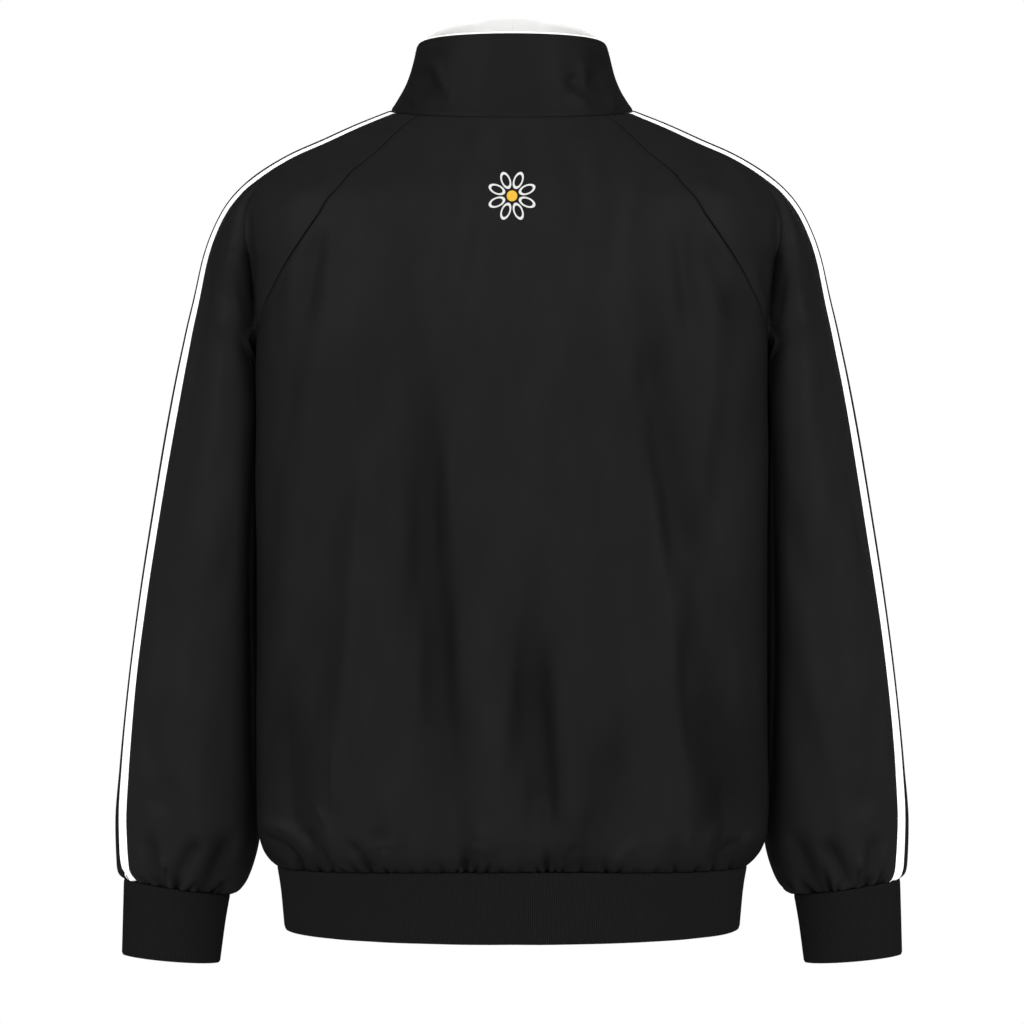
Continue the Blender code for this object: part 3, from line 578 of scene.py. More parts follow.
def satin(name, painted_light=1.0):
    """Black satin: a smooth face with a soft, slightly uneven gloss. Painted shade darkens it deep in its
    folds and at its seams, where the shade attribute marks them, and its tone is scaled up or down for
    lighter or darker painted copies of the same satin."""
    made, tree, shader = finish_material(name, (0.0080, 0.0080, 0.0081), 0.45, 0.05)
    woven_bump(tree, shader, 0.42, 0.5, 0.22)
    here = node(tree, "ShaderNodeTexCoord").outputs["Object"]
    streaked = node(tree, "ShaderNodeMapping", {"Vector": here, "Scale": (52, 52, 17)}).outputs[0]
    cloudy = noise(tree, streaked, 1.0, 5.0)
    # Painted light: the tone is scaled up or down for lighter or darker painted copies of the same satin
    tone = remapped(tree, cloudy, (0.3, 0.7), [painted_light * tone for tone in SATIN_TONE])
    # Painted shade: the base colour is darkened where the shade attribute marks folds, gathers and seams
    depth = node(tree, "ShaderNodeAttribute", attribute_name="shade").outputs["Fac"]
    left_after_painted_shade = remapped(tree, depth, (0, 1), (1.0, PAINTED_SHADE_TONE))
    tree.links.new(maths(tree, "MULTIPLY", tone, left_after_painted_shade), shader.inputs["Base Color"])
    tree.links.new(remapped(tree, cloudy, (0, 1), SATIN_ROUGHNESS), shader.inputs["Roughness"])
    return made, tree, shader


BLACK_SATIN = satin("black_satin")[0]

# The back's own satin carries a plain printed rosette: outlined white petals round a gold middle
BADGE_UP = -61.0
PETALS = 8
PETAL_OUT, PETAL_LONG, PETAL_WIDE = 13.6, 7.2, 3.9  # a petal's middle from the badge's, and its half sizes
PETAL_LINE = 0.86  # the printed line's middle, as a share of those
GOLD_RADIUS = 4.4
PRINT_WHITE = (0.48, 0.48, 0.47, 1)
PRINT_GOLD = (0.53, 0.31, 0.033, 1)


def hypotenuse(tree, first, second):
    """The length of two values set at right angles."""
    squares = [maths(tree, "POWER", maths(tree, "ABSOLUTE", side), 2.0) for side in (first, second)]
    return maths(tree, "SQRT", maths(tree, "ADD", *squares))


def printed(tree, mask, under, ink):
    """A colour with ink over it, on the outer face alone."""
    normal = node(tree, "ShaderNodeNewGeometry").outputs["Normal"]
    outwards = node(tree, "ShaderNodeSeparateXYZ", {"Vector": normal}).outputs["Y"]
    share = maths(tree, "MULTIPLY", mask, maths(tree, "GREATER_THAN", outwards, 0.2))
    return node(tree, "ShaderNodeMix", {0: share, 6: under, 7: ink}, data_type="RGBA").outputs[2]


PRINTED_SATIN, tree, shader = satin("black_satin_printed")
satin_tone = shader.inputs["Base Color"].links[0].from_socket
here = node(tree, "ShaderNodeSeparateXYZ", {"Vector": node(tree, "ShaderNodeTexCoord").outputs["Object"]})
badge_x = maths(tree, "MULTIPLY", here.outputs["X"], 1 / MM)
badge_z = maths(tree, "SUBTRACT", maths(tree, "MULTIPLY", here.outputs["Z"], 1 / MM), BADGE_UP)
from_centre = hypotenuse(tree, badge_x, badge_z)
sector = 2 * math.pi / PETALS
angle = maths(tree, "ADD", maths(tree, "ARCTAN2", badge_z, badge_x), 4 * sector)
angle = maths(tree, "SUBTRACT", maths(tree, "MODULO", angle, sector), sector / 2)
along_petal = maths(tree, "MULTIPLY", from_centre, maths(tree, "COSINE", angle))
along_petal = maths(tree, "DIVIDE", maths(tree, "SUBTRACT", along_petal, PETAL_OUT), PETAL_LONG)
across_petal = maths(tree, "MULTIPLY", from_centre, maths(tree, "SINE", angle))
across_petal = maths(tree, "DIVIDE", across_petal, PETAL_WIDE)
off_line = maths(tree, "SUBTRACT", hypotenuse(tree, along_petal, across_petal), PETAL_LINE)
outline = remapped(tree, maths(tree, "ABSOLUTE", off_line), (0.13, 0.18), (1.0, 0.0))
gold = remapped(tree, from_centre, (GOLD_RADIUS - 0.2, GOLD_RADIUS + 0.2), (1.0, 0.0))
with_white = printed(tree, outline, satin_tone, PRINT_WHITE)
tree.links.new(printed(tree, gold, with_white, PRINT_GOLD), shader.inputs["Base Color"])

BACK_ROWS = panel_rows(105, 55)
BACK_COLUMNS = 286
SAMPLES = 1500  # points on each outline before the panel's own are chosen

lines = []
for down in BACK_ROWS:
    edge = float(seam_angle(down, BEHIND))
    turn = np.linspace(edge, -edge, SAMPLES)
    lines.append(body_points(turn, np.full(SAMPLES, down), BEHIND, 1, BODY, BACK_LARGE))
places = np.interp(BACK_GATHERS["at"], lines[-1][::-1, 0], arc_lengths(lines[-1])[::-1])
grid = panel_grid(lines, places, BACK_COLUMNS, SEAM)
x, down = grid[..., 0], -grid[..., 2]
hem_height = from_edges(grid, "s")
normals = levelled(outward(grid), hem_height)
small_folds = gathered(BACK_GATHERS, x, hem_height)
# Painted shade: the shade attribute darkens the back in its creases, large folds and gathers and at its
# seams
shade = in_folds(dusk(BACK_CREASES, BACK_LARGE, x, down), small_folds) + seam_dusk(from_edges(grid, "ew"))
inwards = pressed(BACK_CREASES, x, down) * (0.4 + 0.6 * ease(hem_height / 9)) + small_folds
near_seam = 6 + 10 * np.clip((hem_height - 40) / 40, 0, 1)
inwards = inwards * ease(from_edges(grid, "new") / near_seam)
inwards = inwards + 1.6 * swells(x, down, 3) * ease(from_edges(grid) / 30) + turned_in(from_edges(grid))
grid = with_allowance(grid - normals * inwards[..., None], normals, (0, -1))
shade = np.pad(shade, ((0, 0), (2, 2)))
back = cloth("back_panel", grid, PRINTED_SATIN, SHELL, shade=shade)
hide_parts("back")

# ---- Fronts --------------------------------------------------------------------------------------
# Two panels of the same satin, each turned under along the zip and topstitched there. Their neck edges dip
# to the middle, and their lower edges are gathered on to the hem as the back's is.

FRONT_LARGE = table(
    CREASE,
    (88, 170, 77, 400, 66, 620, 20, 6, 0, 0.2, 0),
    (-96, 210, -78, 420, -60, 620, 18, 6, 0, 0.2, 0),
    (140, 260, 155, 440, 168, 600, 26, 6, 0, 0, 0),
    (-136, 180, -157, 370, -176, 540, 26, 6, 0, 0, 0),
    (112, 360, 117, 500, 120, 620, 15, -3, 0, 0, 0),
    (-118, 400, -115, 510, -112, 620, 15, -3, 0, 0, 0),
)
FRONT_CREASES = table(
    CREASE,
    (86, 190, 74, 380, 70, 520, 9, 2.2, 0, 0.4, 0),
    (68, 500, 60, 575, 49, 624, 8, 3.6, 0, 0.9, 0),
    (-90, 240, -74, 400, -66, 520, 10, 2.2, 0, 0.4, 0),
    (-64, 520, -58, 580, -61, 624, 6, 3.2, 0, 0.9, 0),
    (124, 70, 132, 120, 150, 190, 8, 2.4, 0, 0, 0),
    (150, 92, 165, 140, 182, 205, 8, 2.0, 0, 0, 0),
    (-120, 66, -135, 130, -150, 195, 8, 2.4, 0, 0, 0),
    (-152, 100, -166, 150, -180, 215, 8, 2.2, 0, 0, 0),
    (-140, 250, -156, 360, -176, 450, 10, -1.6, 0, 0, 0),
    (104, 300, 118, 440, 126, 560, 8, -1.6, 0, 0.3, 0),
    (40, 300, 33, 430, 30, 560, 13, 1.6, 0, 0.2, 0),
    (-36, 260, -28, 400, -34, 540, 13, 1.5, 0, 0.2, 0),
    (186, 596, 172, 602, 158, 624, 6, -2.6, 0.4, 0.5, 0),
    (160, 590, 150, 606, 146, 624, 5, 2.6, 0.1, 0.9, 0),
    (98, 588, 92, 602, 84, 624, 7, 2.2, 0.1, 0.8, 0),
    (28, 590, 22, 604, 20, 624, 6, 1.8, 0.1, 0.8, 0),
    (-24, 596, -28, 608, -30, 624, 5, 1.8, 0.1, 0.8, 0),
    (-92, 582, -98, 600, -104, 624, 7, 2.4, 0.1, 0.8, 0),
    (-134, 594, -142, 608, -146, 624, 5, 2.4, 0.1, 0.9, 0),
    (-186, 594, -174, 604, -162, 624, 6, -2.4, 0.4, 0.5, 0),
)


def uneven_gathers(first, last, step, seed, depth=2.4, length=15):
    """Gathers between two places along a seam, with nothing even about them."""
    chance = np.random.default_rng(seed)
    rows = []
    place = first + chance.uniform(0.2, 0.8) * step
    while place < last:
        small = chance.uniform(0.35, 1.25)
        reach = chance.uniform(1.6, 2.6)
        lean = chance.uniform(-6, 6)
        rows.append((place, lean, reach, small * length * chance.uniform(0.6, 1.4), small * depth))
        place += step * chance.uniform(0.45, 1.7)
    return table(GATHER, *rows)


NECK_DIP = 11.0  # the collar seam's middle in front, below its back
ZIP_HALF_GAP = 4.5
ZIP_STITCH = 6.0  # the topstitching's distance from the front's edge
FRONT_COLUMNS = 128
FRONT_ROWS = panel_rows(93, 49)


def neck_dip(angle, down, share):
    """How far the front's upper rows are let down: share is 1 at the zip and 0 at the raglan seam."""
    fast = np.clip(1 - (down - CAP["down"][0]) / 13.5, 0, 1)
    slow = np.clip(1 - (down - CAP["down"][0]) / 73.5, 0, 1)
    return NECK_DIP * np.cos(angle) ** 2 * (fast + (slow - fast) * share)


fronts = {}
for side_name, hand, seed in (("left", 1, 11), ("right", -1, 12)):
    small = uneven_gathers(8, 190, 12, seed)
    lines = []
    for down in FRONT_ROWS:
        start = math.asin(ZIP_HALF_GAP / float(smooth(BODY, "half_width", down)))
        edge = float(seam_angle(down, BEFORE))
        turn = np.linspace(start, edge, SAMPLES)
        here = down + neck_dip(turn, down, (edge - turn) / (edge - start))
        lines.append(body_points(turn, here, BEFORE, hand, BODY, FRONT_LARGE))
    places = np.interp(small["at"], hand * lines[-1][:, 0], arc_lengths(lines[-1]))
    grid = panel_grid(lines, places, FRONT_COLUMNS, 0)
    grid[:, 0, 0] = hand * ZIP_HALF_GAP
    x, down = grid[..., 0], -grid[..., 2]
    hem_height, from_zip = from_edges(grid, "s"), from_edges(grid, "w")
    normals = levelled(outward(grid), hem_height)
    small_folds = gathered(small, hand * x, hem_height)
    # Painted shade: the shade attribute darkens each front in its creases, large folds and gathers
    shade = in_folds(dusk(FRONT_CREASES, FRONT_LARGE, x, down), small_folds)
    inwards = pressed(FRONT_CREASES, x, down) * (0.4 + 0.6 * ease(hem_height / 9)) + small_folds
    inwards = inwards * ease(from_edges(grid, "ne") / 16) * ease((from_zip - 4) / 20)
    inwards = inwards + swells(x, down, 5) * ease(from_edges(grid) / 30)
    inwards = inwards + turned_in(from_edges(grid, "nes")) + 0.5 * turned_in(from_zip)
    inwards = inwards + 0.35 * near(from_zip - ZIP_STITCH, 1.4)
    fronts[side_name] = grid - normals * inwards[..., None]
    grid = with_allowance(fronts[side_name], normals, (-1,))
    shade = np.pad(shade * ease(from_zip / 12), ((0, 0), (0, 2)))
    front = cloth("front_panel_" + side_name, grid, BLACK_SATIN, SHELL, shade=shade)
    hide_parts("front_" + side_name)

# ---- Sleeves -------------------------------------------------------------------------------------
# One-piece raglan sleeves of the satin. Each runs from the collar over the shoulder, hangs beside the body
# with a deep fold at the armhole, and is closed below the underarm. It is gathered into its cuff.

TAPE_FROM, TAPE_TO = 11.8, 24.5  # the tapes' edges, each side of the overarm line
FOLD_ABOVE = 38.0  # the fold is at least this far from the overarm line
FOLD_END = 17.0  # and this far from the raglan seam

# The arm where it leaves the shoulder. Its inner side overlaps the body's side, and merge softens the fold.
ARM = table(
    "down out_x mid_y half_depth overlap merge",
    (46, 214, 6, 3, 3, 20),
    (54, 223, 6.5, 10, 3, 26),
    (62, 230.5, 6, 22, 3, 32),
    (72, 240, 4, 36, 3, 42),
    (84, 247, 1, 49, 3, 46),
    (97, 252.5, -3, 56, 3, 42),
    (122, 261, -9.5, 63, 3, 28),
    (148, 267, -16, 67, 4, 13),
    (173, 272.5, -22, 69.5, 7, 8),
    (187, 276.3, -26, 70, 8, 6),
    (215, 282, -29, 71, 8, 6),
)
SLEEVE = table(
    "out_down out_x in_down in_x mid_y half_depth under_y clear fold_share",
    (187, 276.3, 215, 212, -26, 70, 12, 0.5, 0.8),
    (225, 284.5, 253, 209, -29, 71, -5, 2, 0.72),
    (275, 294, 301, 209, -31, 70, -20, 2, 0.62),
    (335, 304, 358, 209, -32, 67, -32, 2, 0.54),
    (405, 315, 426, 209, -34, 62, -34, 2, 0.5),
    (482, 325.2, 501, 209, -37, 57, -37, 2, 0.5),
    (556, 332.8, 572, 210, -41, 50, -41, 2, 0.5),
    (606, 336.6, 620, 214.5, -43.5, 44.5, -43.5, 2, 0.5),
    (641, 335.5, 654, 225, -45.5, 38.5, -45.5, 2, 0.5),
    (647.5, 334, 660.5, 229.5, -46, 36, -46, 2, 0.5),
    (652, 330, 665, 238, -46.5, 33, -46.5, 2, 0.5),
)

# Creases by distance out from the middle, the same on both sleeves but for their small gathers
SLEEVE_BACK_CREASES = table(
    CREASE,
    (307, 606, 305, 628, 302, 650, 7, 4.4, 0, 0.9, 0.4),
    (297, 628, 296, 636, 296, 643, 5, -2.4, 0.3, 0.3, 0),
    (294, 640, 294, 646, 295, 655, 2.2, 2.8, 0.2, 1, 1),
    (262, 610, 272, 628, 284, 650, 7, 5.4, 0, 0.8, 0.4),
    (234, 600, 246, 630, 258, 658, 9, 6.2, 0, 0.9, 0.4),
    (321, 618, 317, 628, 314, 646, 3, -1.2, 0, 0.5, 1),
    (283, 560, 296, 575, 309, 592, 12, 2.4, 0, 0, 0),
    (262, 330, 266, 420, 272, 520, 16, 1.6, 0, 0, 0),
    (250, 440, 262, 520, 276, 600, 12, -1.6, 0, 0, 0),
    (243, 180, 246, 240, 250, 310, 8, -1.6, 0, 0, 0),
    (214, 230, 214, 440, 216, 630, 9, 5, 0, 0.3, 0),
    (232, 300, 240, 360, 250, 420, 10, 1.8, 0, 0, 0),
    (300, 480, 306, 520, 313, 560, 10, 1.4, 0, 0, 0),
)
SLEEVE_FRONT_CREASES = table(
    CREASE,
    (300, 600, 297, 626, 294, 655, 6, 2.8, 0, 0.9, 0),
    (262, 604, 268, 628, 276, 658, 6, 3.2, 0, 0.8, 0),
    (240, 596, 246, 626, 254, 660, 7, 3.4, 0, 0.8, 0),
    (316, 612, 313, 628, 310, 648, 4, -1.4, 0, 0.5, 0),
    (236, 262, 262, 292, 292, 300, 9, 2.6, 0, 0, 0),
    (232, 290, 254, 330, 290, 346, 9, 2.8, 0, 0, 0),
    (236, 334, 262, 368, 298, 372, 10, 2.2, 0, 0, 0),
    (240, 276, 268, 312, 300, 322, 7, -1.8, 0, 0, 0),
    (240, 440, 262, 500, 280, 590, 12, 2.2, 0, 0, 0),
    (250, 150, 256, 200, 262, 250, 8, -1.6, 0, 0, 0),
    (284, 400, 290, 480, 296, 560, 12, -1.4, 0, 0, 0),
)
CAP_CREASES = table(
    CREASE,
    (196, 62, 168, 57, 136, 49, 8, -1.8, 0, 0, 0),
    (224, 62, 221, 92, 217, 122, 9, -4.5, 0.2, 0, 0),
    (226, 66, 219, 84, 215, 120, 2.5, 1.2, 0, 0, 1),
    (243, 112, 232, 106, 222, 113, 3, -1.2, 0, 0, 0),
    (232, 118, 225, 150, 220, 185, 5, 2.0, 0, 0.5, 0),
    (186, 82, 170, 96, 160, 110, 12, 1.2, 0, 0, 0),
)


def body_and_arm(x, down, side, hand, large):
    """The surfaces of the body and of the arm beside it, as body_out gives them."""
    body = body_out(BODY, hand * x, down, side, large)
    outer, mid = smooth(ARM, "out_x", down), side * smooth(ARM, "mid_y", down)
    inner = smooth(BODY, "half_width", down) - smooth(ARM, "overlap", down)
    centre, half = (outer + inner) / 2, np.maximum((outer - inner) / 2, 1.0)
    offset = (x - centre) / half
    square = 2 + 1.2 * ease((down - 60) / 60) * (offset < 0) * (side == BEHIND)
    deep = np.clip(1 - np.abs(offset) ** square, 0, 1) ** (1 / square)
    arm = mid + smooth(ARM, "half_depth", down) * deep
    arm = arm - 6 * half * np.maximum(np.abs(offset) - 1, 0)
    return body, arm - 6 * np.maximum(ARM["down"][0] - down, 0)


# Steps of half a section: to the tape, across it, over the arm to the fold, and on to the seam
HALF_STEPS = (4, 6, 38, 33)


def half_stations(fold, end):
    """Distances of a half section's points from the overarm line."""
    to_tape, tape, arm, shoulder = HALF_STEPS
    return np.concatenate(
        [
            np.linspace(0, TAPE_FROM, to_tape + 1),
            np.linspace(TAPE_FROM, TAPE_TO, tape + 1)[1:],
            np.linspace(TAPE_TO, fold, arm + 1)[1:],
            fold + stations(end - fold, shoulder + 1, fine_start=False)[1:],
        ]
    )


def cap_half(down, side, hand):
    """Half a section of a sleeve's shoulder, from the overarm line to a raglan seam."""
    large = BACK_LARGE if side == BEHIND else FRONT_LARGE
    angle = float(seam_angle(down, side))
    over_down = float(smooth(CAP, "over_down", down))
    has_arm = over_down > ARM["down"][0]
    over_x = float(smooth(ARM, "out_x", over_down) if has_arm else smooth(BODY, "half_width", over_down))
    seam_x = float(smooth(BODY, "half_width", down)) * math.sin(angle)
    share = np.sin(np.linspace(0, math.pi / 2, SAMPLES)) ** 2
    x = over_x + (seam_x - over_x) * share
    section = over_down + (down - over_down) * share
    if side == BEFORE:
        half = smooth(BODY, "half_width", section)
        section = section + neck_dip(np.arcsin(np.clip(x / half, 0, 1)), down, 0) * ease(share * 4)
    body, arm = body_and_arm(x, section, side, hand, large)
    # The body's surface and the arm's run softly into one another, and the fold is where the arm's ends
    merge = smooth(ARM, "merge", section) * np.clip((smooth(ARM, "out_x", section) - x) / 30, 0, 1)
    out = (body + arm + np.sqrt((body - arm) ** 2 + merge**2)) / 2
    line = np.stack([x, side * out, -section], 1)
    length = arc_lengths(line)
    beyond = np.flatnonzero(arm > body)
    fold = length[beyond[-1]] if has_arm and len(beyond) else FOLD_ABOVE
    fold = min(max(fold, FOLD_ABOVE), length[-1] - FOLD_END)
    line[:, 0] *= hand
    return spread(line, half_stations(fold, length[-1] - SEAM))


def body_side_x(y, down):
    """The half width of the body's ring at y."""
    half, mid = smooth(BODY, "half_width", down), smooth(BODY, "mid_y", down)
    behind = y > mid
    far = np.where(behind, smooth(BODY, "back_y", down), smooth(BODY, "front_y", down))
    square = np.where(behind, smooth(BODY, "square_back", down), smooth(BODY, "square_front", down))
    share = np.clip((y - mid) / (far - mid), 0, 1)
    return half * (1 - share**square) ** (1 / square)


def ring(rows, at, hand, clear=0.0, fullness=1.0):
    """A closed ring of a sleeve or cuff at an outer distance down, from its outermost point round behind."""
    columns = ("out_x", "in_x", "mid_y", "half_depth", "in_down")
    values = [float(smooth(rows, column, at, "out_down")) for column in columns]
    outer, inner, mid_y, half_depth, in_down = values
    turn = np.linspace(0, 2 * math.pi, 4 * SAMPLES, endpoint=False)
    across, deep = np.cos(turn), np.sin(turn)
    full = np.where((across < 0) & (deep > 0), fullness, 1.0)
    across, deep = np.sign(across) * np.abs(across) ** full, np.sign(deep) * np.abs(deep) ** full
    x = (outer + inner) / 2 + (outer - inner) / 2 * across
    y = mid_y + half_depth * deep
    down = at + (in_down - at) * (outer - x) / (outer - inner)
    if clear:
        x = np.maximum(x, body_side_x(y, down) + clear)
    return np.stack([hand * x, y, -down], 1)


def tube_row(at, hand):
    """A closed row of the sleeve, from the underarm line over the arm and back to it."""
    fullness = 0.62 + 0.38 * float(ease((at - 600) / 50))
    points = ring(SLEEVE, at, hand, float(smooth(SLEEVE, "clear", at, "out_down")), fullness)
    middle = float(smooth(SLEEVE, "out_x", at, "out_down") + smooth(SLEEVE, "in_x", at, "out_down")) / 2
    under_y = float(smooth(SLEEVE, "under_y", at, "out_down"))
    inner = np.abs(points[:, 0]) < middle
    under = np.argmin(np.where(inner, np.abs(points[:, 1] - under_y), 1e9))
    halves = []
    for half in (points[: under + 1], np.concatenate([points[:1], points[under:][::-1]])):
        end = arc_lengths(half)[-1]
        fold = TAPE_TO + (end - TAPE_TO) * float(smooth(SLEEVE, "fold_share", at, "out_down"))
        halves.append(spread(half, half_stations(fold, end)))
    return np.concatenate([halves[0][::-1], halves[1][1:]])


CAP_ROWS = CAP["down"][0] + stations(CAP["down"][-1] - CAP["down"][0], 61, fine_end=False)
BLEND_STEPS = 10
TUBE_ROWS = np.concatenate([np.linspace(187, 590, 88), 590 + stations(62, 37, fine_start=False)[1:]])

# The sleeve is creased softly along its overarm line: its flanks fall in beside it by a depth, over a reach
FLANKS = table(
    "down reach depth",
    (-3.5, 14, 1.2),
    (34, 15, 1.4),
    (54, 18, 1.8),
    (84, 22, 3.4),
    (122, 24, 5.2),
    (187, 24, 6.6),
    (275, 24, 7.5),
    (335, 24, 6.5),
    (405, 24, 5.2),
    (482, 24, 3.6),
    (556, 18, 2.0),
    (606, 10, 2.2),
    (652, 9, 1.6),
)

SMOOTHING_PASSES = 60
OUTER_CALM = 0.75  # how much shallower the gathers are on the sleeve's outer side
# Painted shade on the shoulders, which face the lights above, tones down the lighter sleeve satin there
SHOULDER_PAINTED_SHADE = 0.32  # a shade on the shoulders, which face the lights above


def sleeve_grid(hand):
    """A sleeve's form, and the number of its first closed row: open sections down the shoulder, closed ones
    down the arm, and rows between them that carry on both their ways."""
    cap = []
    for down in CAP_ROWS:
        behind, before = cap_half(down, BEHIND, hand), cap_half(down, BEFORE, hand)
        cap.append(np.concatenate([behind[::-1], before[1:]]))
    tube = [tube_row(at, hand) for at in TUBE_ROWS]
    leave, arrive = (cap[-1] - cap[-3]) / 2 * BLEND_STEPS, (tube[2] - tube[0]) / 2 * BLEND_STEPS
    blend = []
    for t in np.linspace(0, 1, BLEND_STEPS + 1)[1:-1]:
        shares = cubic(t)
        blend.append(shares[0] * cap[-1] + shares[1] * leave + shares[2] * tube[0] + shares[3] * arrive)
    grid = np.array(cap + blend + tube)
    joined_from = len(cap) + len(blend)
    # Where the arm leaves the shoulder the cloth is drawn smooth
    over = grid.shape[1] // 2
    over_down = -grid[:, over, 2]
    loose = ease((over_down - 28) / 14) * (1 - ease((over_down - 88) / 20))
    columns_out = np.abs(np.arange(grid.shape[1]) - over) / over
    loose = (loose[:, None] * (1 - ease((columns_out - 0.62) / 0.33))[None])[1:-1, :, None]
    for _ in range(SMOOTHING_PASSES):
        grid[1:-1] += 0.5 * loose * ((grid[:-2] + grid[2:]) / 2 - grid[1:-1])
    grid[joined_from:, -1] = grid[joined_from:, 0]
    return grid, joined_from


def sleeve_creases(facing, x, down):
    """How far the creases press the sleeve in. Facing is 1 where it faces behind and -1 where before."""
    behind, before, cap = (
        pressed(rows, x, down) for rows in (SLEEVE_BACK_CREASES, SLEEVE_FRONT_CREASES, CAP_CREASES)
    )
    return np.maximum(facing, 0) * (behind + cap) + np.maximum(-facing, 0) * (before + cap)


def flank_fall(from_over, over_down):
    """How far the flanks fall in beside the overarm line, with nothing at the line or at the folds."""
    over = from_over.shape[1] // 2
    fold = sum(HALF_STEPS[:3])
    behind = np.arange(from_over.shape[1]) < over
    to_fold = np.where(behind, from_over[:, [over - fold]], from_over[:, [over + fold]])
    reach, depth = smooth(FLANKS, "reach", over_down), smooth(FLANKS, "depth", over_down)
    return depth * (1 - near(from_over, reach)) * (1 - ease((from_over / to_fold - 0.45) / 0.55))


# Painted light: a lighter copy of the satin, its tone raised by a fifth, as the sleeves catch less of the
# lights than the back does
SLEEVE_SATIN = satin("black_satin_sleeves_painted_lighter", 1.2)[0]
sleeves = {}
for side_name, hand, seed in (("left", 1, 21), ("right", -1, 34)):
    grid, joined_from = sleeve_grid(hand)
    over = grid.shape[1] // 2
    normals = outward(grid)
    # The underarm's two edges share one direction
    shared = (normals[joined_from:, 0] + normals[joined_from:, -1]) / 2
    normals[joined_from:, 0] = normals[joined_from:, -1] = shared
    x, down = hand * grid[..., 0], -grid[..., 2]
    to_cuff = arc_lengths(grid[::-1])[::-1]
    round_cuff = arc_lengths(grid[-1])[None]
    around = arc_lengths(grid, 1)
    from_over = np.abs(around - around[:, over : over + 1])
    open_edges = np.minimum(from_edges(grid, "ew"), 40)
    open_edges[joined_from:] = 40
    normals = levelled(normals, to_cuff)
    creases = sleeve_creases(np.clip(normals[..., 1] * 2.2, -1, 1), x, down)
    small = uneven_gathers(0, round_cuff[0, -1], 10, seed, 3.2, 20)
    outer_side = ease((np.abs(normals[..., 0]) - 0.86) / 0.1) * (x > 290)
    small_folds = gathered(small, round_cuff, to_cuff) * (1 - OUTER_CALM * outer_side)
    # Painted shade: the shade attribute darkens the sleeve in its creases and gathers, at its seams and over
    # the shoulders
    shade = in_folds(creases, small_folds) + seam_dusk(open_edges)
    shade += SHOULDER_PAINTED_SHADE * (1 - ease((down - 110) / 90))
    uneven = 0.8 * swells(2.0 * np.arange(1, grid.shape[1] + 1)[None], down, seed)
    steady = ease(open_edges / 14) * ease(from_edges(grid, "n") / 14)
    inwards = (creases + small_folds + uneven * ease(from_over / 60)) * steady
    inwards += flank_fall(from_over, down[:, over : over + 1])
    inwards += turned_in(np.minimum(open_edges, from_edges(grid, "ns")))
    grid = grid - normals * inwards[..., None]
    grid[joined_from:, -1] = grid[joined_from:, 0]
    name = "sleeve_panel_" + side_name
    sleeve = cloth(name, grid, SLEEVE_SATIN, SHELL, joined_from=joined_from, shade=shade)
    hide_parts("sleeve_" + side_name)
    sleeves[side_name] = grid

# ---- Sleeve tapes --------------------------------------------------------------------------------
# Two white woven tapes on each sleeve, one each side of the overarm line, from the collar to the cuff.
# Each is stitched down near both of its edges, which draws a shallow groove there.

TAPE_WALL = 0.5
TAPE_LIFT = 0.05
TAPE_WIDE = TAPE_TO - TAPE_FROM
TAPE_STITCH = 2.0  # the stitching's distance from each edge
TAPE_HALF = np.array([0, 0.35, 1.2, TAPE_STITCH, 2.8, 4.6])  # points across it, finer than the sleeve's
TAPE_COLUMNS = np.concatenate([TAPE_HALF, TAPE_WIDE - TAPE_HALF[::-1]])
TAPE_GROOVES = (3, -4)  # the columns that are stitched down

WHITE_TAPE, tree, shader = finish_material("white_tape", (0.86, 0.86, 0.85), 0.55, 0.4, 0.1)
woven_bump(tree, shader, 0.9, 0.4, 0.45)
tape_place = node(tree, "ShaderNodeUVMap", uv_map="cloth").outputs["UV"]
tape_split = node(tree, "ShaderNodeSeparateXYZ", {"Vector": tape_place})
from_middle = maths(tree, "ABSOLUTE", tape_split.outputs["X"])
edge_share = remapped(tree, from_middle, (0.0040, 0.0052), (0, 1), interpolation_type="SMOOTHSTEP")
tree.links.new(remapped(tree, edge_share, (0, 1), (0.87, 0.93)), shader.inputs["Base Color"])

tape_grooves = {"left": [], "right": []}
for side_name in ("left", "right"):
    grid = sleeves[side_name]
    normals = outward(grid)
    over = grid.shape[1] // 2
    to_tape, tape = HALF_STEPS[:2]
    under = np.linspace(0, TAPE_WIDE, tape + 1)
    for end, first in (("back", over - to_tape - tape), ("front", over + to_tape)):
        columns = slice(first, first + tape + 1)
        strip = np.array([read_along(row, under, TAPE_COLUMNS) for row in grid[:-1, columns]])
        out = np.array([read_along(row, under, TAPE_COLUMNS) for row in normals[:-1, columns]])
        out /= np.linalg.norm(out, axis=-1, keepdims=True)
        other_edge = TAPE_WIDE - TAPE_COLUMNS
        groove = 0.14 * (near(TAPE_COLUMNS - TAPE_STITCH, 0.6) + near(other_edge - TAPE_STITCH, 0.6))
        edge = 0.2 * (near(TAPE_COLUMNS, 0.3) + near(other_edge, 0.3))
        strip = strip + out * (TAPE_LIFT + TAPE_WALL - groove - edge)[None, :, None]
        tape_grooves[side_name] += [(strip[:, column], out[:, column]) for column in TAPE_GROOVES]
        u = (TAPE_COLUMNS - TAPE_WIDE / 2)[None]
        name = f"sleeve_tape_{side_name}_{end}"
        tape_piece = cloth(name, strip, WHITE_TAPE, TAPE_WALL - 0.25, u=u)
        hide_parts(f"tape_{side_name}_{end}")

# ---- Collar --------------------------------------------------------------------------------------
# A tall stand collar that leans in to its top edge: black satin outside, and a white facing inside that
# shows as a thin line above the black edge. It dips at the sides and opens at the zip.

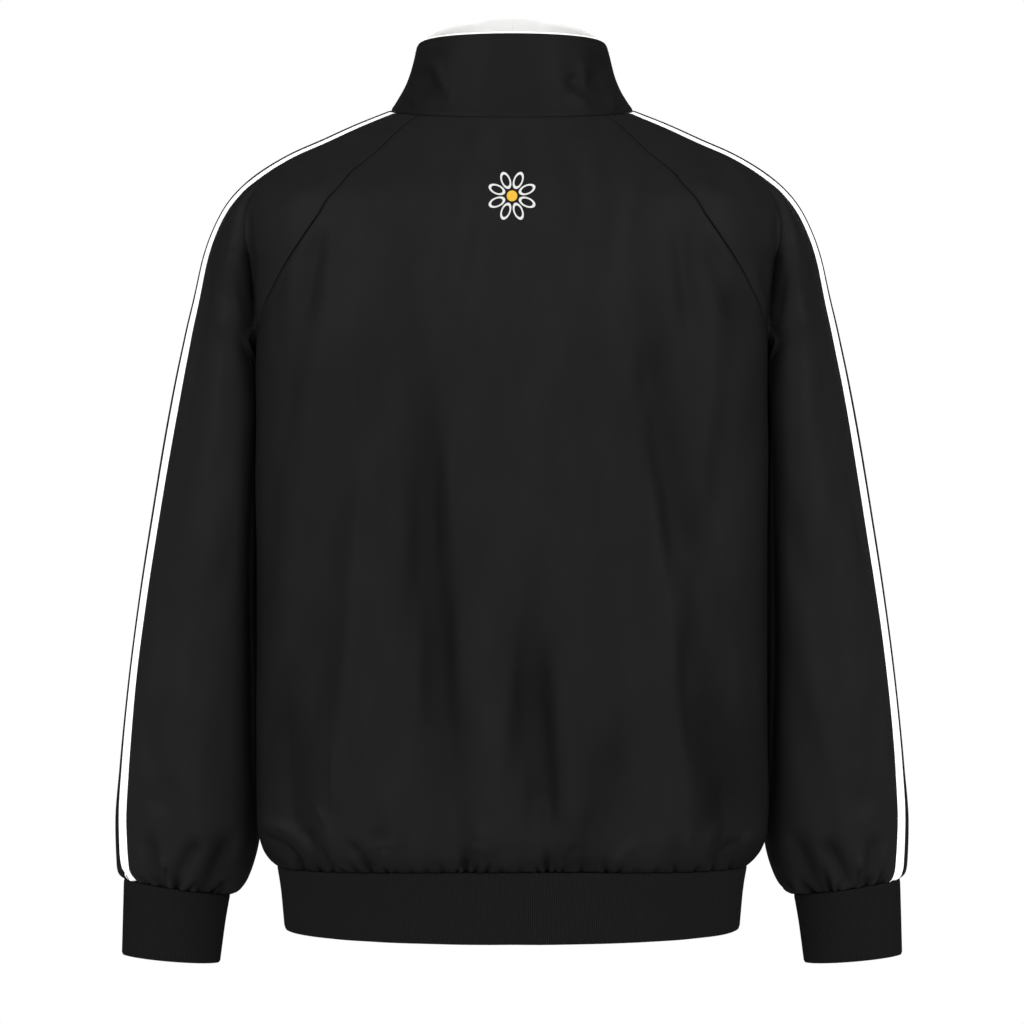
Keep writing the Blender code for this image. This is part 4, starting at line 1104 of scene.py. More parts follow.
COLLAR = table("height inward", (0, 0), (0.13, 0.22), (0.45, 0.63), (1, 1))
COLLAR_TOP = {"half_width": 80, "back_y": 76, "front_y": -80, "square": 2.1}
COLLAR_TOP_UP = {"back": 72.5, "side": 56.5, "front": 77}
COLLAR_TOP_ROUND = {"back": 0.68, "front": 1.0}
COLLAR_TOP_SOFT = {"back": 0.08, "front": 0.25}  # rounds the dip at its sides
COLLAR_WALL = 1.2
COLLAR_STITCH = 5.5  # the topstitching's distance from the top edge
COLLAR_COLUMNS = 238
FACING_COLUMNS = 202
FACING_WALL = 1.0
FACING_CLEAR = 0.7  # between the collar and its facing
FACING_RISE = 1.3  # the facing's edge above the collar's
FACING_HALF_GAP = 0.03
FACING_CLEAR_OF_ZIP, ZIP_DEPTH = 34.0, 3.1

# Dents of the collar's back, by x and height above the origin
COLLAR_CREASES = table(
    CREASE,
    (68, 54, 62, 38, 52, 20, 4.5, -2.6, 0, 0.2, 0),
    (76, 44, 72, 32, 62, 16, 7, 3.6, 0.1, 0.2, 0),
    (54, 40, 49, 28, 56, 14, 3, -1.2, 0, 0, 1),
    (86, 24, 82, 16, 84, 9, 4, -2.2, 0, 0, 0),
    (-50, 40, -52, 32, -54, 24, 6.5, 3.2, 0.2, 0.2, 0),
    (-67, 42, -70, 33, -76, 25, 7, 3.6, 0.2, 0.2, 0),
    (-45, 28, -54, 18, -70, 11, 4, -2.6, 0, 0, 0),
    (-80, 22, -84, 13, -90, 7, 3.5, -2.6, 0.2, 0, 0),
    (-60, 52, -60, 38, -61, 24, 4, -1.8, 0, 0, 0),
    (-66, 56, -76, 44, -84, 36, 5, 2.0, 0, 0.3, 0),
    (20, 60, 0, 50, -24, 46, 14, 0.8, 0, 0, 0),
)
COLLAR_FRONT_CREASES = table(
    CREASE,
    (60, 50, 54, 34, 44, 16, 6, 1.6, 0, 0.3, 0),
    (-56, 54, -52, 36, -60, 16, 6, 1.7, 0, 0.3, 0),
    (34, 52, 38, 36, 32, 20, 6, -1.0, 0, 0, 0),
    (-30, 46, -36, 32, -34, 14, 6, -1.0, 0, 0, 0),
)


def collar_points(side, hand, angle, height):
    """Points of the collar's outer side. Height runs from 0 at the seam to 1 at the top edge."""
    dip = NECK_DIP * np.cos(angle) ** 2 if side == BEFORE else 0 * angle
    base = body_points(angle, CAP["down"][0] + dip, side, hand)
    name = "back" if side == BEHIND else "front"
    square = COLLAR_TOP["square"]
    depth = abs(COLLAR_TOP[name + "_y"]) * np.clip(1 - np.sin(angle) ** square, 0, 1) ** (1 / square)
    rise = COLLAR_TOP_UP[name] - COLLAR_TOP_UP["side"]
    soft = COLLAR_TOP_SOFT[name]
    share = (np.sqrt(np.cos(angle) ** 2 + soft**2) - soft) / (math.sqrt(1 + soft**2) - soft)
    top_z = COLLAR_TOP_UP["side"] + rise * share ** COLLAR_TOP_ROUND[name]
    top = np.stack([hand * COLLAR_TOP["half_width"] * np.sin(angle), side * depth, top_z], -1)
    point = base + (top - base) * smooth(COLLAR, "inward", height, "height")
    point[..., 2] = base[..., 2] + (top[..., 2] - base[..., 2]) * height
    return point


def both_sides(left):
    """A line from the zip to the middle of the back, carried on by its mirror image."""
    return np.concatenate([left, (left * (-1, 1, 1))[-2::-1]])


def collar_row(height, front_x, columns):
    """A row round the collar, from its left front edge round the back to its right one."""
    start = math.asin(front_x / COLLAR_TOP["half_width"])
    front = collar_points(BEFORE, 1, np.linspace(start, math.pi / 2, SAMPLES), height)
    behind = collar_points(BEHIND, 1, np.linspace(math.pi / 2, 0, SAMPLES)[1:], height)
    line = both_sides(np.concatenate([front, behind]))
    return spread(line, stations(arc_lengths(line)[-1], columns))


def collar_dents(grid):
    """How far the collar's dents press it in."""
    x, up, y = grid[..., 0], grid[..., 2], grid[..., 1]
    behind = ease((y + 10) / 25)
    return pressed(COLLAR_CREASES, x, up) * behind + pressed(COLLAR_FRONT_CREASES, x, up) * (1 - behind)


COLLAR_FOOT, COLLAR_HEAD = [0, 0.01, 0.023, 0.04], [0.965, 0.978, 0.989, 1]  # finer rows at its two edges
collar_heights = np.concatenate([COLLAR_FOOT, np.linspace(0.065, 0.95, 26), COLLAR_HEAD])
grid = np.array([collar_row(height, ZIP_HALF_GAP, COLLAR_COLUMNS) for height in collar_heights])
grid[:, 0, 0], grid[:, -1, 0] = ZIP_HALF_GAP, -ZIP_HALF_GAP
normals = outward(grid)
from_bottom, from_front = from_edges(grid, "n"), from_edges(grid, "ew")
from_top = from_bottom[-1:] - from_bottom
inwards = collar_dents(grid) * ease(from_bottom / 9) * ease(from_top / 12) * ease(from_front / 20)
uneven = swells(np.arange(COLLAR_COLUMNS)[None] * 2.4, -grid[..., 2] * 3, 8)
inwards += 0.35 * uneven * ease(from_edges(grid) / 12)
inwards += turned_in(from_bottom) + 0.55 * near(from_top, 1.1)
inwards += 0.4 * turned_in(from_front) + 0.3 * near(from_front - ZIP_STITCH, 1.4)
inwards += 0.22 * near(from_top - COLLAR_STITCH, 0.9)
grid = grid - normals * inwards[..., None]
allowance = grid[:1] - normals[:1] * (1.6, 1.6, 0) - (0, 0, 2.6)
collar_grid = np.concatenate([allowance, grid])
# Painted shade: a darker copy of the satin, its tone lowered by nearly a fifth, so the collar shows darker
# than the same cloth elsewhere
COLLAR_SATIN = satin("black_satin_collar_painted_darker", 0.82)[0]
collar = cloth("collar_outside", collar_grid, COLLAR_SATIN, COLLAR_WALL - 0.2)
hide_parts("collar")

WHITE_FACING, tree, shader = finish_material("white_facing", (0.8, 0.8, 0.79), 0.6, 0.3, 0.1)
woven_bump(tree, shader, 0.7, 0.6, 0.35)

grid = np.array([collar_row(height, FACING_HALF_GAP, FACING_COLUMNS) for height in collar_heights])
normals = outward(grid)
beside_zip = ease((FACING_CLEAR_OF_ZIP - np.abs(grid[..., 0])) / 14) * (grid[..., 1] < 0)
deep = COLLAR_WALL + FACING_CLEAR + ZIP_DEPTH * beside_zip
lean = 0.75 * near(from_top[:, :1], 1.6)
from_bottom = from_edges(grid, "n")
below_top = from_bottom[-1:] - from_bottom
dents = collar_dents(grid) * ease(from_bottom / 9) * ease(below_top / 12) * (1 - beside_zip)
grid = grid - normals * (deep + dents - lean * (1 - beside_zip))[..., None]
grid[:, 0, 0], grid[:, -1, 0] = FACING_HALF_GAP, -FACING_HALF_GAP
grid[-4:, :, 2] += np.array([0.2, 0.5, 0.9, FACING_RISE])[:, None]
grid[0, :, 2] += 1.3
facing_piece = cloth("collar_inside", grid, WHITE_FACING, FACING_WALL)
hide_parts("collar_facing")

# ---- Hem -----------------------------------------------------------------------------------------
# A band of black one-by-one rib knit, folded at its lower edge and seamed to the shell, with its ends at
# the zip. Each rib is a wale that stands up in the knit.

HEM = table(
    "down half_width mid_y back_y front_y square_back square_front lift",
    (632, 198.5, 16, 126, -122.5, 2.7, 2.3, 4),
    (655, 195, 16, 124.5, -121, 2.55, 2.3, 1.3),
    (687, 192, 16, 123, -119.5, 2.45, 2.3, -2.5),
)
RIB_WALL = 2.2
RIB_PITCH = 1.85
RIB_HEIGHT = 0.42
RIB_PROFILE = np.array([0.0, 0.6, 1.0, 0.6])  # round one rib
COURSE_PITCH = 1.25
BAND_ALLOWANCE = 8.0  # the band's first row is pressed this deep behind the shell

KNIT, tree, shader = finish_material("black_rib", (0.005, 0.005, 0.005), 0.75, 0.04)
knit_place = node(tree, "ShaderNodeUVMap", uv_map="cloth").outputs["UV"]
knit_split = node(tree, "ShaderNodeSeparateXYZ", {"Vector": knit_place})
wale = maths(tree, "DIVIDE", knit_split.outputs["X"], RIB_PITCH * MM)
wale_share = maths(tree, "ABSOLUTE", maths(tree, "SUBTRACT", maths(tree, "FRACT", wale), 0.5))
course = maths(tree, "DIVIDE", knit_split.outputs["Y"], COURSE_PITCH * MM)
loops = maths(tree, "SINE", maths(tree, "MULTIPLY", maths(tree, "ADD", course, wale_share), 2 * math.pi))
fuzz = noise(tree, knit_place, 2600.0)
knit_height = maths(tree, "ADD", maths(tree, "MULTIPLY", loops, 0.5), maths(tree, "MULTIPLY", fuzz, 0.9))
bumped(tree, shader, knit_height, 0.4, 0.0002)
# Painted shade: the knit's colour is darker in the valleys between the ribs and lighter on their crests
tree.links.new(remapped(tree, wale_share, (0, 0.5), (0.0090, 0.0042)), shader.inputs["Base Color"])


def hem_line(down):
    """The hem's outline at one height, from its left front edge round the back to its right one."""
    start = math.asin(ZIP_HALF_GAP / HEM["half_width"][0])
    level = np.full(SAMPLES, down)
    front = body_points(np.linspace(start, math.pi / 2, SAMPLES), level, BEFORE, 1, HEM)
    behind = body_points(np.linspace(math.pi / 2, 0, SAMPLES), level, BEHIND, 1, HEM)[1:]
    return both_sides(np.concatenate([front, behind]))


def knit_grid(lines):
    """A grid of points round a band's outlines, with whole ribs in it."""
    columns = round(arc_lengths(lines[0])[-1] / RIB_PITCH) * len(RIB_PROFILE) + 1
    return np.array([spread(line, np.linspace(0, arc_lengths(line)[-1], columns)) for line in lines])


def knit_band(name, grid, below_seam, seam_fall, uneven, closed=False):
    """A band of the knit: turned in by seam_fall at its seam, rounded at its fold, and ribbed down it."""
    below = below_seam[:, None]
    inwards = 0.9 * near(below[-1] - below, 1.1) + seam_fall * near(below, 1.6) + uneven
    inwards[0] = BAND_ALLOWANCE
    profile = RIB_PROFILE[np.arange(grid.shape[1]) % len(RIB_PROFILE)]
    for press in (inwards, RIB_HEIGHT * (1 - profile)[None]):
        grid = grid - outward(grid, closed) * press[..., None]
        if closed:
            grid[:, -1] = grid[:, 0]
    u = np.arange(grid.shape[1])[None] * RIB_PITCH / len(RIB_PROFILE)
    return cloth(name, grid, KNIT, RIB_WALL - 0.3, joined_from=0 if closed else None, u=u)


hem_below = np.array([0.05, 0.2, 1.2, 3, 8, 16, 24, 32, 40, 47, 52, 54.2, 55])
hem_downs = HEM["down"][0] + hem_below
grid = knit_grid([hem_line(down) for down in hem_downs])
grid[:, 0, 0], grid[:, -1, 0] = ZIP_HALF_GAP, -ZIP_HALF_GAP
ripple = np.arange(grid.shape[1])[None] * RIB_PITCH / len(RIB_PROFILE)
uneven = 0.5 * swells(ripple * 0.8, hem_downs[:, None] * 2, 9)
hem = knit_band("hem_rib_knit", grid, hem_below, 0.6, uneven)
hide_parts("hem_rib")

# ---- Cuffs ---------------------------------------------------------------------------------------
# Two closed tubes of the same rib knit, each folded at the wrist. The sleeve is gathered on to the upper
# edge, and the seam lies inside.

CUFF = table(
    "out_down out_x in_down in_x mid_y half_depth",
    (652, 329.5, 665, 239, -46.5, 32.5),
    (676, 330.3, 687, 243, -47, 30),
    (717, 331.5, 724, 248, -48, 29.5),
)
cuff_below = np.array([0.05, 0.2, 1.2, 3, 8, 16, 25, 34, 43, 52, 59, 63, 64.3, 65])
cuff_downs = CUFF["out_down"][0] + cuff_below

for side_name, hand, seed in (("left", 1, 41), ("right", -1, 44)):
    lines = [ring(CUFF, down, hand) for down in cuff_downs]
    grid = knit_grid([np.concatenate([line, line[:1]]) for line in lines])
    grid[:, -1] = grid[:, 0]
    turn = np.linspace(0, 2 * math.pi, grid.shape[1])[None]
    uneven = 0.4 * np.sin(3 * turn + seed) * np.sin(cuff_downs[:, None] / 21 + seed)
    cuff = knit_band("cuff_knit_" + side_name, grid, cuff_below, 0.5, uneven, closed=True)
    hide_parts("cuff_" + side_name)

# ---- Zip -----------------------------------------------------------------------------------------
# A closed, separating zip: two woven tapes behind the fronts' edges, and moulded plastic teeth that are
# clamped on the tapes and mesh in the middle. Stops end it above, and a box holds its lower ends together.

ZIP_COLUMNS = (0.5, 1.4, 2.4, 4.5, 8.0, 11.5, 14.5)
ZIP_BEHIND = 0.35
TOOTH, TOOTH_MIDDLE = (3.1, 1.3, 1.0), (1.15, 0, 0)  # its head crosses the zip's middle
TOOTH_STEP = 1.3
BOX = (6.6, 8.4, 3.0)
STOP, STOP_MIDDLE = (1.5, 2.6, 2.4), (2.6, 0, 0)
TEETH_TOP = 0.85  # of the collar
STOPS_AT = 0.95
BOX_ABOVE_FOLD = 4.6
OUTWARDS = (0, -1, 0)
HALF_TURN = [[-1], [-1], [1]]  # turns a frame about its outward direction

zip_lines = [(height, "collar") for height in np.linspace(0.97, 0, 17)]
zip_lines += [(down, "body") for down in np.linspace(12, 630, 112)]
zip_lines += [(down, "hem") for down in (634, 642, 650, 658, 666, 674, 680, 686)]


def beside_zip_point(x, at, place):
    """The outer surface of the collar, body or hem at a point beside the zip."""
    hand, x = (1 if x > 0 else -1), abs(x)
    if place == "collar":
        neck = float(smooth(BODY, "half_width", CAP["down"][0] + NECK_DIP))
        half = neck + (COLLAR_TOP["half_width"] - neck) * float(smooth(COLLAR, "inward", at, "height"))
        return collar_points(BEFORE, hand, np.array(math.asin(x / half)), at)
    rows = BODY if place == "body" else HEM
    angle = math.asin(x / float(smooth(rows, "half_width", at)))
    return body_points(np.array(angle), np.array(at), BEFORE, hand, rows)


def behind_fronts(columns, depth):
    """Points a depth behind the fronts' inner side, from the collar's top to the hem's fold."""
    grid = np.array([[beside_zip_point(x, *line) for x in columns] for line in zip_lines])
    normals = np.cross(np.gradient(grid, axis=1), np.gradient(grid, axis=0))
    normals /= np.linalg.norm(normals, axis=-1, keepdims=True)
    at_hem = np.array([0 if place == "collar" else float(ease((at - 590) / 20)) for at, place in zip_lines])
    walls = COLLAR_WALL + at_hem[:, None]
    grid[..., 1] += (walls + depth) / np.clip(np.abs(normals[..., 1]), 0.6, 1)
    return grid


ZIP_WOVEN, tree, shader = finish_material("zip_tape", (0.014, 0.014, 0.014), 0.7, 0.3, 0.1)
woven_bump(tree, shader, 0.8, 0.4, 0.5)
for side_name, hand in (("left", 1), ("right", -1)):
    grid = behind_fronts([hand * x for x in ZIP_COLUMNS], ZIP_BEHIND)
    zip_tape = cloth("zip_tape_woven_" + side_name, grid, ZIP_WOVEN, 0.9)
    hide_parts("zip_tape_" + side_name)


def block(name, size, middle):
    """A cube made to a size about a middle, for shaping on."""
    deselect()
    bpy.ops.mesh.primitive_cube_add(size=1)
    made = bpy.context.object
    made.name = name
    made.data.transform(Matrix.Translation(Vector(middle)) @ Matrix.Diagonal((*size, 1)))
    return made


def to_objects():
    """Leaves edit mode."""
    bpy.ops.object.mode_set(mode="OBJECT")


def pick(made, kind, wanted):
    """Into edit mode, with only the wanted ones of a shape's faces or edges picked."""
    to_objects()
    mesh = made.data
    for items in (mesh.vertices, mesh.edges, mesh.polygons):
        items.foreach_set("select", [False] * len(items))
    for item in getattr(mesh, kind):
        item.select = wanted(item)
    bpy.context.tool_settings.mesh_select_mode = (False, kind == "edges", kind == "polygons")
    bpy.ops.object.mode_set(mode="EDIT")


def pick_end(made, axis, sign):
    """Picks the outermost faces along an axis."""
    to_objects()
    far = max(face.center[axis] * sign for face in made.data.polygons)
    pick(made, "polygons", lambda face: face.center[axis] * sign > far - 1e-4)


def pick_corners(made):
    """Picks the edges that run from front to back."""
    to_objects()
    points = [vertex.co.copy() for vertex in made.data.vertices]

    def upright(edge):
        way = points[edge.vertices[0]] - points[edge.vertices[1]]
        return abs(way.z) > 0.99 * way.length

    pick(made, "edges", upright)


def pushed(way, scale=(1, 1, 1)):
    """Extrudes what is picked, and widens or narrows its end."""
    bpy.ops.mesh.extrude_region_move(TRANSFORM_OT_translate={"value": way})
    bpy.ops.transform.resize(value=scale)


def bevelled(made, width, segments=2):
    """Rounds a block's sharp edges."""
    to_objects()
    bpy.context.view_layer.objects.active = made
    soft = made.modifiers.new("Bevel", "BEVEL")
    soft.width = width
    soft.segments = segments
    soft.limit_method = "ANGLE"
    soft.angle_limit = math.radians(40)
    bpy.ops.object.modifier_apply(modifier="Bevel")


def repeated(name, shape, frames, look):
    """One mesh of copies of a shape. Each frame is a middle and the shape's three directions there."""
    to_objects()
    points = np.array([vertex.co for vertex in shape.data.vertices])
    faces = [np.array(face.vertices) for face in shape.data.polygons]
    placed = np.concatenate([middle + points @ ways for middle, ways in frames])
    mesh = bpy.data.meshes.new(name)
    copies = [(face + i * len(points)).tolist() for i in range(len(frames)) for face in faces]
    mesh.from_pydata((placed * MM).tolist(), [], copies)
    mesh.materials.append(look)
    bpy.data.objects.remove(shape)
    made = bpy.data.objects.new(name, mesh)
    bpy.context.scene.collection.objects.link(made)
    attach(made, "jacket")
    return made


def directions(along, out):
    """Across, along and out at a place, square to each other."""
    along = np.array(along) / np.linalg.norm(along)
    across = np.cross(along, out)
    across /= np.linalg.norm(across)
    return np.array([across, along, np.cross(across, along)])


def hard_material(name, colour, roughness, metallic=0.0):
    """Black plastic or lacquered metal with a fine bumpy surface."""
    made, tree, shader = finish_material(name, colour, roughness, 0.5, 0.0, metallic)
    here = node(tree, "ShaderNodeTexCoord").outputs["Object"]
    bumped(tree, shader, noise(tree, here, 3000.0), 0.15, 0.00005)
    return made


BLACK_PLASTIC = hard_material("black_plastic", (0.012, 0.012, 0.012), 0.4)

# A tooth grips the tape's edge, and its head fills the gap between two of the other side's
tooth = block("tooth", TOOTH, TOOTH_MIDDLE)
pick_end(tooth, 0, -1)
pushed((-0.5, 0, 0), (1, 0.6, 0.8))
for sign in (1, -1):
    pick_end(tooth, 2, sign)
    pushed((0, 0, 0.4 * sign), (0.9, 0.62, 1))

middle_line = behind_fronts((-0.01, 0.01), ZIP_BEHIND + 0.5).mean(axis=1)
lengths = arc_lengths(middle_line)


def length_at(height):
    """The distance along the zip's middle line of a height on the collar."""
    heights = np.array([at for at, place in zip_lines if place == "collar"])
    return float(np.interp(1 - height, 1 - heights, lengths[: len(heights)]))


middles = spread(middle_line, np.arange(length_at(TEETH_TOP), lengths[-1] - 9, TOOTH_STEP))
ups = -np.gradient(middles, axis=0)
frames = []
for i, (middle, up) in enumerate(zip(middles, ups)):
    turned = directions(up, OUTWARDS)
    frames.append((middle, turned if i % 2 else turned * HALF_TURN))
teeth = repeated("zip_teeth_moulded", tooth, frames, BLACK_PLASTIC)
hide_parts("zip_teeth")

# The box at the hem, with a recessed face, and the stops at the top
box = block("box", BOX, (0, 0, 0))
pick_end(box, 2, 1)
bpy.ops.mesh.inset(thickness=0.9)
pushed((0, 0, -0.4), (0.94, 0.96, 1))
bevelled(box, 0.35)
foot = spread(middle_line, [lengths[-1] - BOX_ABOVE_FOLD])[0]
repeated("zip_box", box, [(foot, directions(ups[-1], OUTWARDS))], BLACK_PLASTIC)
stop = block("stop", STOP, STOP_MIDDLE)
pick_end(stop, 2, 1)
pushed((0, 0, 0.2), (0.7, 0.7, 1))
bevelled(stop, 0.25)
head, turned = spread(middle_line, [length_at(STOPS_AT)])[0], directions(ups[0], OUTWARDS)
frames = [(head, turned), (head, turned * HALF_TURN)]
repeated("zip_top_stops", stop, frames, BLACK_PLASTIC)

# ---- Slider --------------------------------------------------------------------------------------
# A die-cast, black lacquered slider at the collar's top: two plates round the teeth, joined by the post
# that parts them, and a crown on the outer plate that the pull tab hangs from.

SLIDER_AT = 0.86  # of the collar
PLATE = {"wide": 8.0, "tall": 11.0, "taper": 3.0, "back": -0.85, "face": 1.0}
INNER_PLATE = (-4.05, -3.25)
POST, POST_MIDDLE = (2.0, 1.0, 2.6), (0, 4.6, -2.05)
CROWN = {"wide": 2.0, "tall": 8.6, "foot": 1.4, "inside": 3.4}

BLACK_METAL = hard_material("black_metal", (0.02, 0.02, 0.021), 0.34, 0.55)


def slider_place():
    """The slider's middle on the collar, and its directions: across, up and out."""
    heights = (SLIDER_AT, SLIDER_AT + 0.05, SLIDER_AT - 0.05)
    middle, above, below = (beside_zip_point(0.001, height, "collar") for height in heights)
    return middle * (0, 1, 1), directions((above - below) * (0, 1, 1), OUTWARDS)


def finished(name, blocks, place, body):
    """Joins blocks into one metal piece and puts it in its place."""
    for made in blocks:
        made.select_set(True)
    bpy.context.view_layer.objects.active = blocks[0]
    bpy.ops.object.join()
    made = bpy.context.object
    made.name = name
    middle, ways = place
    turn = Matrix(ways.T.tolist()).to_4x4()
    made.data.transform(Matrix.Scale(MM, 4) @ Matrix.Translation(Vector(middle)) @ turn)
    made.data.materials.append(BLACK_METAL)
    bpy.ops.object.shade_smooth_by_angle(angle=math.radians(35))
    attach(made, body)
    return made


def plate(name, thick, middle):
    """A plate of the slider, with its lower end narrowed."""
    taper = PLATE["taper"]
    made = block(name, (PLATE["wide"], PLATE["tall"] - taper, thick), (0, taper / 2, middle))
    pick_end(made, 1, -1)
    pushed((0, -taper, 0), (0.78, 1, 1))
    return made


outer_plate = plate("outer_plate", PLATE["face"] - PLATE["back"], (PLATE["face"] + PLATE["back"]) / 2)
pick_end(outer_plate, 2, -1)
bpy.ops.mesh.inset(thickness=0.6)
pushed((0, 0, 0.35))
bevelled(outer_plate, 0.45, 3)
inner_plate = plate("inner_plate", INNER_PLATE[1] - INNER_PLATE[0], sum(INNER_PLATE) / 2)
bevelled(inner_plate, 0.25)
post = block("post", POST, POST_MIDDLE)
pick_end(post, 1, -1)
pushed((0, -1.4, 0), (0.35, 1, 1))
bevelled(post, 0.12, 1)
bar = CROWN["tall"] / 2 - CROWN["foot"]
crown = block("crown", (CROWN["wide"], 2 * bar, 1.0), (0, 0, CROWN["inside"] + 0.5))
for sign in (1, -1):
    pick_end(crown, 1, sign)
    pushed((0, sign * CROWN["foot"], 0))
pick(crown, "polygons", lambda face: face.normal.z < -0.9 and abs(face.center.y) > bar)
pushed((0, 0, -(CROWN["inside"] - PLATE["face"] + 0.3)))
bevelled(crown, 0.3, 3)
slider = finished("zip_slider_cast", [outer_plate, inner_plate, post, crown], slider_place(), "jacket")
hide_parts("zip_slider")

# ---- Pull tab ------------------------------------------------------------------------------------
# A flat lacquered tab that hangs from the crown by an eye, with a thicker, ribbed grip at its lower end.
# Its hinge's axis lies across the slider.

PIVOT_UP, PIVOT_OUT = -1.6, 2.15  # the hinge's axis from the slider's middle
TAB_HALF, TAB_END, TAB_THICK = 3.2, 27.0, 1.5
EYE_HALF, EYE_FROM, EYE_TO = 1.45, 0.8, 4.3
GRIP, GRIP_MIDDLE = (4.9, 15, 2.0), (0, -17.5, 0)
GRIP_RIB, GRIP_RIBS, FIRST_RIB, GRIP_RIB_STEP = (3.6, 0.9, 2.6), 5, -12.9, 2.3


def rounded_bar(name, size, middle, corner, segments):
    """A flat bar with round corners, seen from in front."""
    made = block(name, size, middle)
    pick_corners(made)
    bpy.ops.mesh.bevel(offset=corner, segments=segments)
    to_objects()
    return made


tab_size = (2 * TAB_HALF, TAB_END + EYE_FROM, TAB_THICK)
tab = rounded_bar("tab", tab_size, (0, (EYE_FROM - TAB_END) / 2, 0), 1.7, 4)
eye = rounded_bar("eye", (2 * EYE_HALF, EYE_TO - EYE_FROM, 4), (0, -(EYE_TO + EYE_FROM) / 2, 0), 0.6, 3)
bpy.context.view_layer.objects.active = tab
cut = tab.modifiers.new("Eye", "BOOLEAN")
cut.operation = "DIFFERENCE"
cut.object = eye
bpy.ops.object.modifier_apply(modifier="Eye")
bpy.data.objects.remove(eye)
bevelled(tab, 0.22)
grip = rounded_bar("grip", GRIP, GRIP_MIDDLE, 1.2, 3)
bevelled(grip, 0.25)
ribs = []
for i in range(GRIP_RIBS):
    rib = block("grip_rib", GRIP_RIB, (0, FIRST_RIB - GRIP_RIB_STEP * i, 0))
    bevelled(rib, 0.25)
    ribs.append(rib)
middle, ways = slider_place()
hinge = middle + ways[1] * PIVOT_UP + ways[2] * PIVOT_OUT
pull = finished("zip_pull_tab", [tab, grip, *ribs], (hinge, ways), "pull_tab")
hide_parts("zip_pull")

# ---- Topstitching --------------------------------------------------------------------------------
# Lockstitch rows: black thread on the collar's edges and beside the zip, and white thread near both edges
# of each sleeve tape. Each stitch is a short thread that lies in the groove it has drawn.

BLACK_THREAD = finish_material("black_thread", (0.012, 0.012, 0.012), 0.5, 0.4)[0]
WHITE_THREAD = finish_material("white_thread", (0.8, 0.8, 0.79), 0.5, 0.4)[0]
STITCH_STEP = 3.1
STITCH_LONG, STITCH_RADIUS = 1.4, 0.22  # its straight middle, without the ends that dip in the cloth


def stitched(name, rows, thread):
    """Stitches along lines on cloth. Each row is a line of points and its outward directions."""
    deselect()
    size = {"vertices": 4, "radius": STITCH_RADIUS, "depth": STITCH_LONG}
    bpy.ops.mesh.primitive_cylinder_add(**size, rotation=(math.pi / 2, 0, 0))
    stitch = bpy.context.object
    bpy.ops.object.transform_apply(rotation=True)
    for sign in (1, -1):
        pick_end(stitch, 1, sign)
        pushed((0, sign * 0.5, -0.12), (0.4, 1, 0.4))
    frames = []
    for line, outs in rows:
        length = arc_lengths(line)
        at = np.arange(STITCH_STEP, length[-1] - STITCH_STEP, STITCH_STEP)
        middles = spread(line, at)
        for middle, along, out in zip(middles, np.gradient(middles, axis=0), read_along(outs, length, at)):
            frames.append((middle + out * 0.05, directions(along, out)))
    return repeated(name, stitch, frames, thread)


def line_across(grid, normals, distance, flip=False):
    """The line a distance in from the first point of each of a grid's rows, and its outward directions."""
    if flip:
        grid, normals = grid[:, ::-1], normals[:, ::-1]
    points, outs = [], []
    for row, out in zip(grid, normals):
        length = arc_lengths(row)
        points.append(read_along(row, length, distance))
        outs.append(read_along(out, length, distance))
    return np.array(points), np.array(outs)


for side_name in ("left", "right"):
    grid = fronts[side_name]
    rows = [line_across(grid, outward(grid), ZIP_STITCH)]
    stitched("stitching_front_" + side_name, rows, BLACK_THREAD)
    stitched("stitching_tapes_" + side_name, tape_grooves[side_name], WHITE_THREAD)
grid = collar_grid[5:]
normals = outward(grid)
rows = [line_across(grid, normals, ZIP_STITCH), line_across(grid, normals, ZIP_STITCH, flip=True)]
top_row = line_across(np.swapaxes(grid, 0, 1), np.swapaxes(normals, 0, 1), COLLAR_STITCH, flip=True)
rows.append([line[4:-4] for line in top_row])
stitched("stitching_collar", rows, BLACK_THREAD)

# ---- Stage ---------------------------------------------------------------------------------------
# A pale floor far below, because the jacket is shown as if worn, a white surround, and softboxes all round.
# Only the three on the camera's side show in the satin's gloss.

FLOOR_Z = -1.45
SURROUND, SURROUND_IN_GLOSS = 0.5, 0.06  # the surround's strength on the cloth
deselect()
bpy.ops.mesh.primitive_plane_add(size=6, location=(0, 0, FLOOR_Z))
floor = bpy.context.object
floor.name = "floor"
floor.visible_glossy = False
floor.data.materials.append(finish_material("pale_floor", (0.8, 0.8, 0.79), 0.9, 0.1)[0])

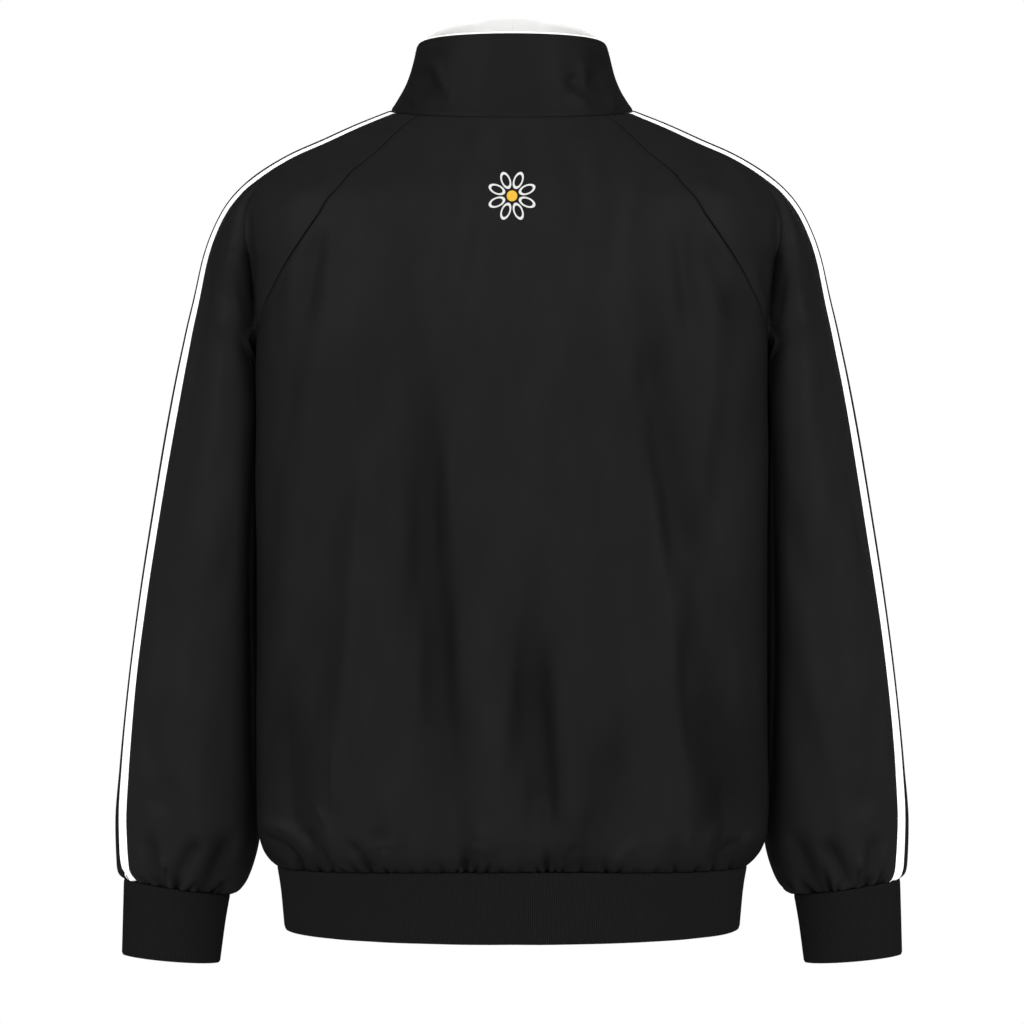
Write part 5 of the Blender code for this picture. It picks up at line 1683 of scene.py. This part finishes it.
world = bpy.data.worlds.new("white surround")
bpy.context.scene.world = world
world.use_nodes = True
sky = world.node_tree
backdrop = sky.nodes["Background"]
rays = node(sky, "ShaderNodeLightPath")
dimmed = remapped(sky, rays.outputs["Is Glossy Ray"], (0, 1), (SURROUND, SURROUND_IN_GLOSS))
level = remapped(sky, rays.outputs["Is Camera Ray"], (0, 1), (dimmed, 1.0))
backdrop.inputs["Color"].default_value = (1, 1, 1, 1)
sky.links.new(level, backdrop.inputs["Strength"])

LIGHTS = table(
    "x y z width height power glossy",
    (0, 3.3, 0.1, 5.4, 3.8, 76, 1),
    (-3.0, 2.8, 1.2, 2.4, 3.2, 66, 1),
    (3.0, 2.8, 1.2, 2.4, 3.2, 64, 1),
    (0, -3.3, 0.1, 3.0, 3.6, 30, 0),
    (0, -3.4, 0.1, 4.2, 3.6, 85, 0),
    (-3.4, 0.2, 0, 2.2, 3.2, 38, 0),
    (3.4, 0.2, 0, 2.2, 3.2, 38, 0),
    (0, 0.6, 2.8, 1.8, 1.8, 60, 0),
)
LIGHTS_AIM = Vector((0, 0, -0.35))
for x, y, z, width, height, power, glossy in zip(*LIGHTS.values()):
    lamp = bpy.data.lights.new("softbox", "AREA")
    lamp.shape = "RECTANGLE"
    lamp.size, lamp.size_y = width, height
    lamp.energy = power
    placed = bpy.data.objects.new("softbox", lamp)
    placed.location = (x, y, z)
    placed.rotation_mode = "QUATERNION"
    placed.rotation_quaternion = (placed.location - LIGHTS_AIM).to_track_quat("Z", "Y")
    placed.visible_camera = False
    placed.visible_glossy = bool(glossy)
    bpy.context.scene.collection.objects.link(placed)

bpy.context.scene.view_settings.view_transform = "Standard"
VIEW_HEIGHT = math.radians(5)
VIEW_DISTANCE = 12.0
VIEW_AIM = Vector((0, 0, -0.336))
lens = bpy.data.cameras.new("camera")
lens.lens = 500
lens.sensor_width = 36
lens.clip_start, lens.clip_end = 0.1, 80
camera = bpy.data.objects.new("camera", lens)
way_back = Vector((0, math.cos(VIEW_HEIGHT), math.sin(VIEW_HEIGHT)))
camera.location = VIEW_AIM + way_back * VIEW_DISTANCE
camera.rotation_mode = "QUATERNION"
camera.rotation_quaternion = way_back.to_track_quat("Z", "Y")
bpy.context.scene.collection.objects.link(camera)
bpy.context.scene.camera = camera
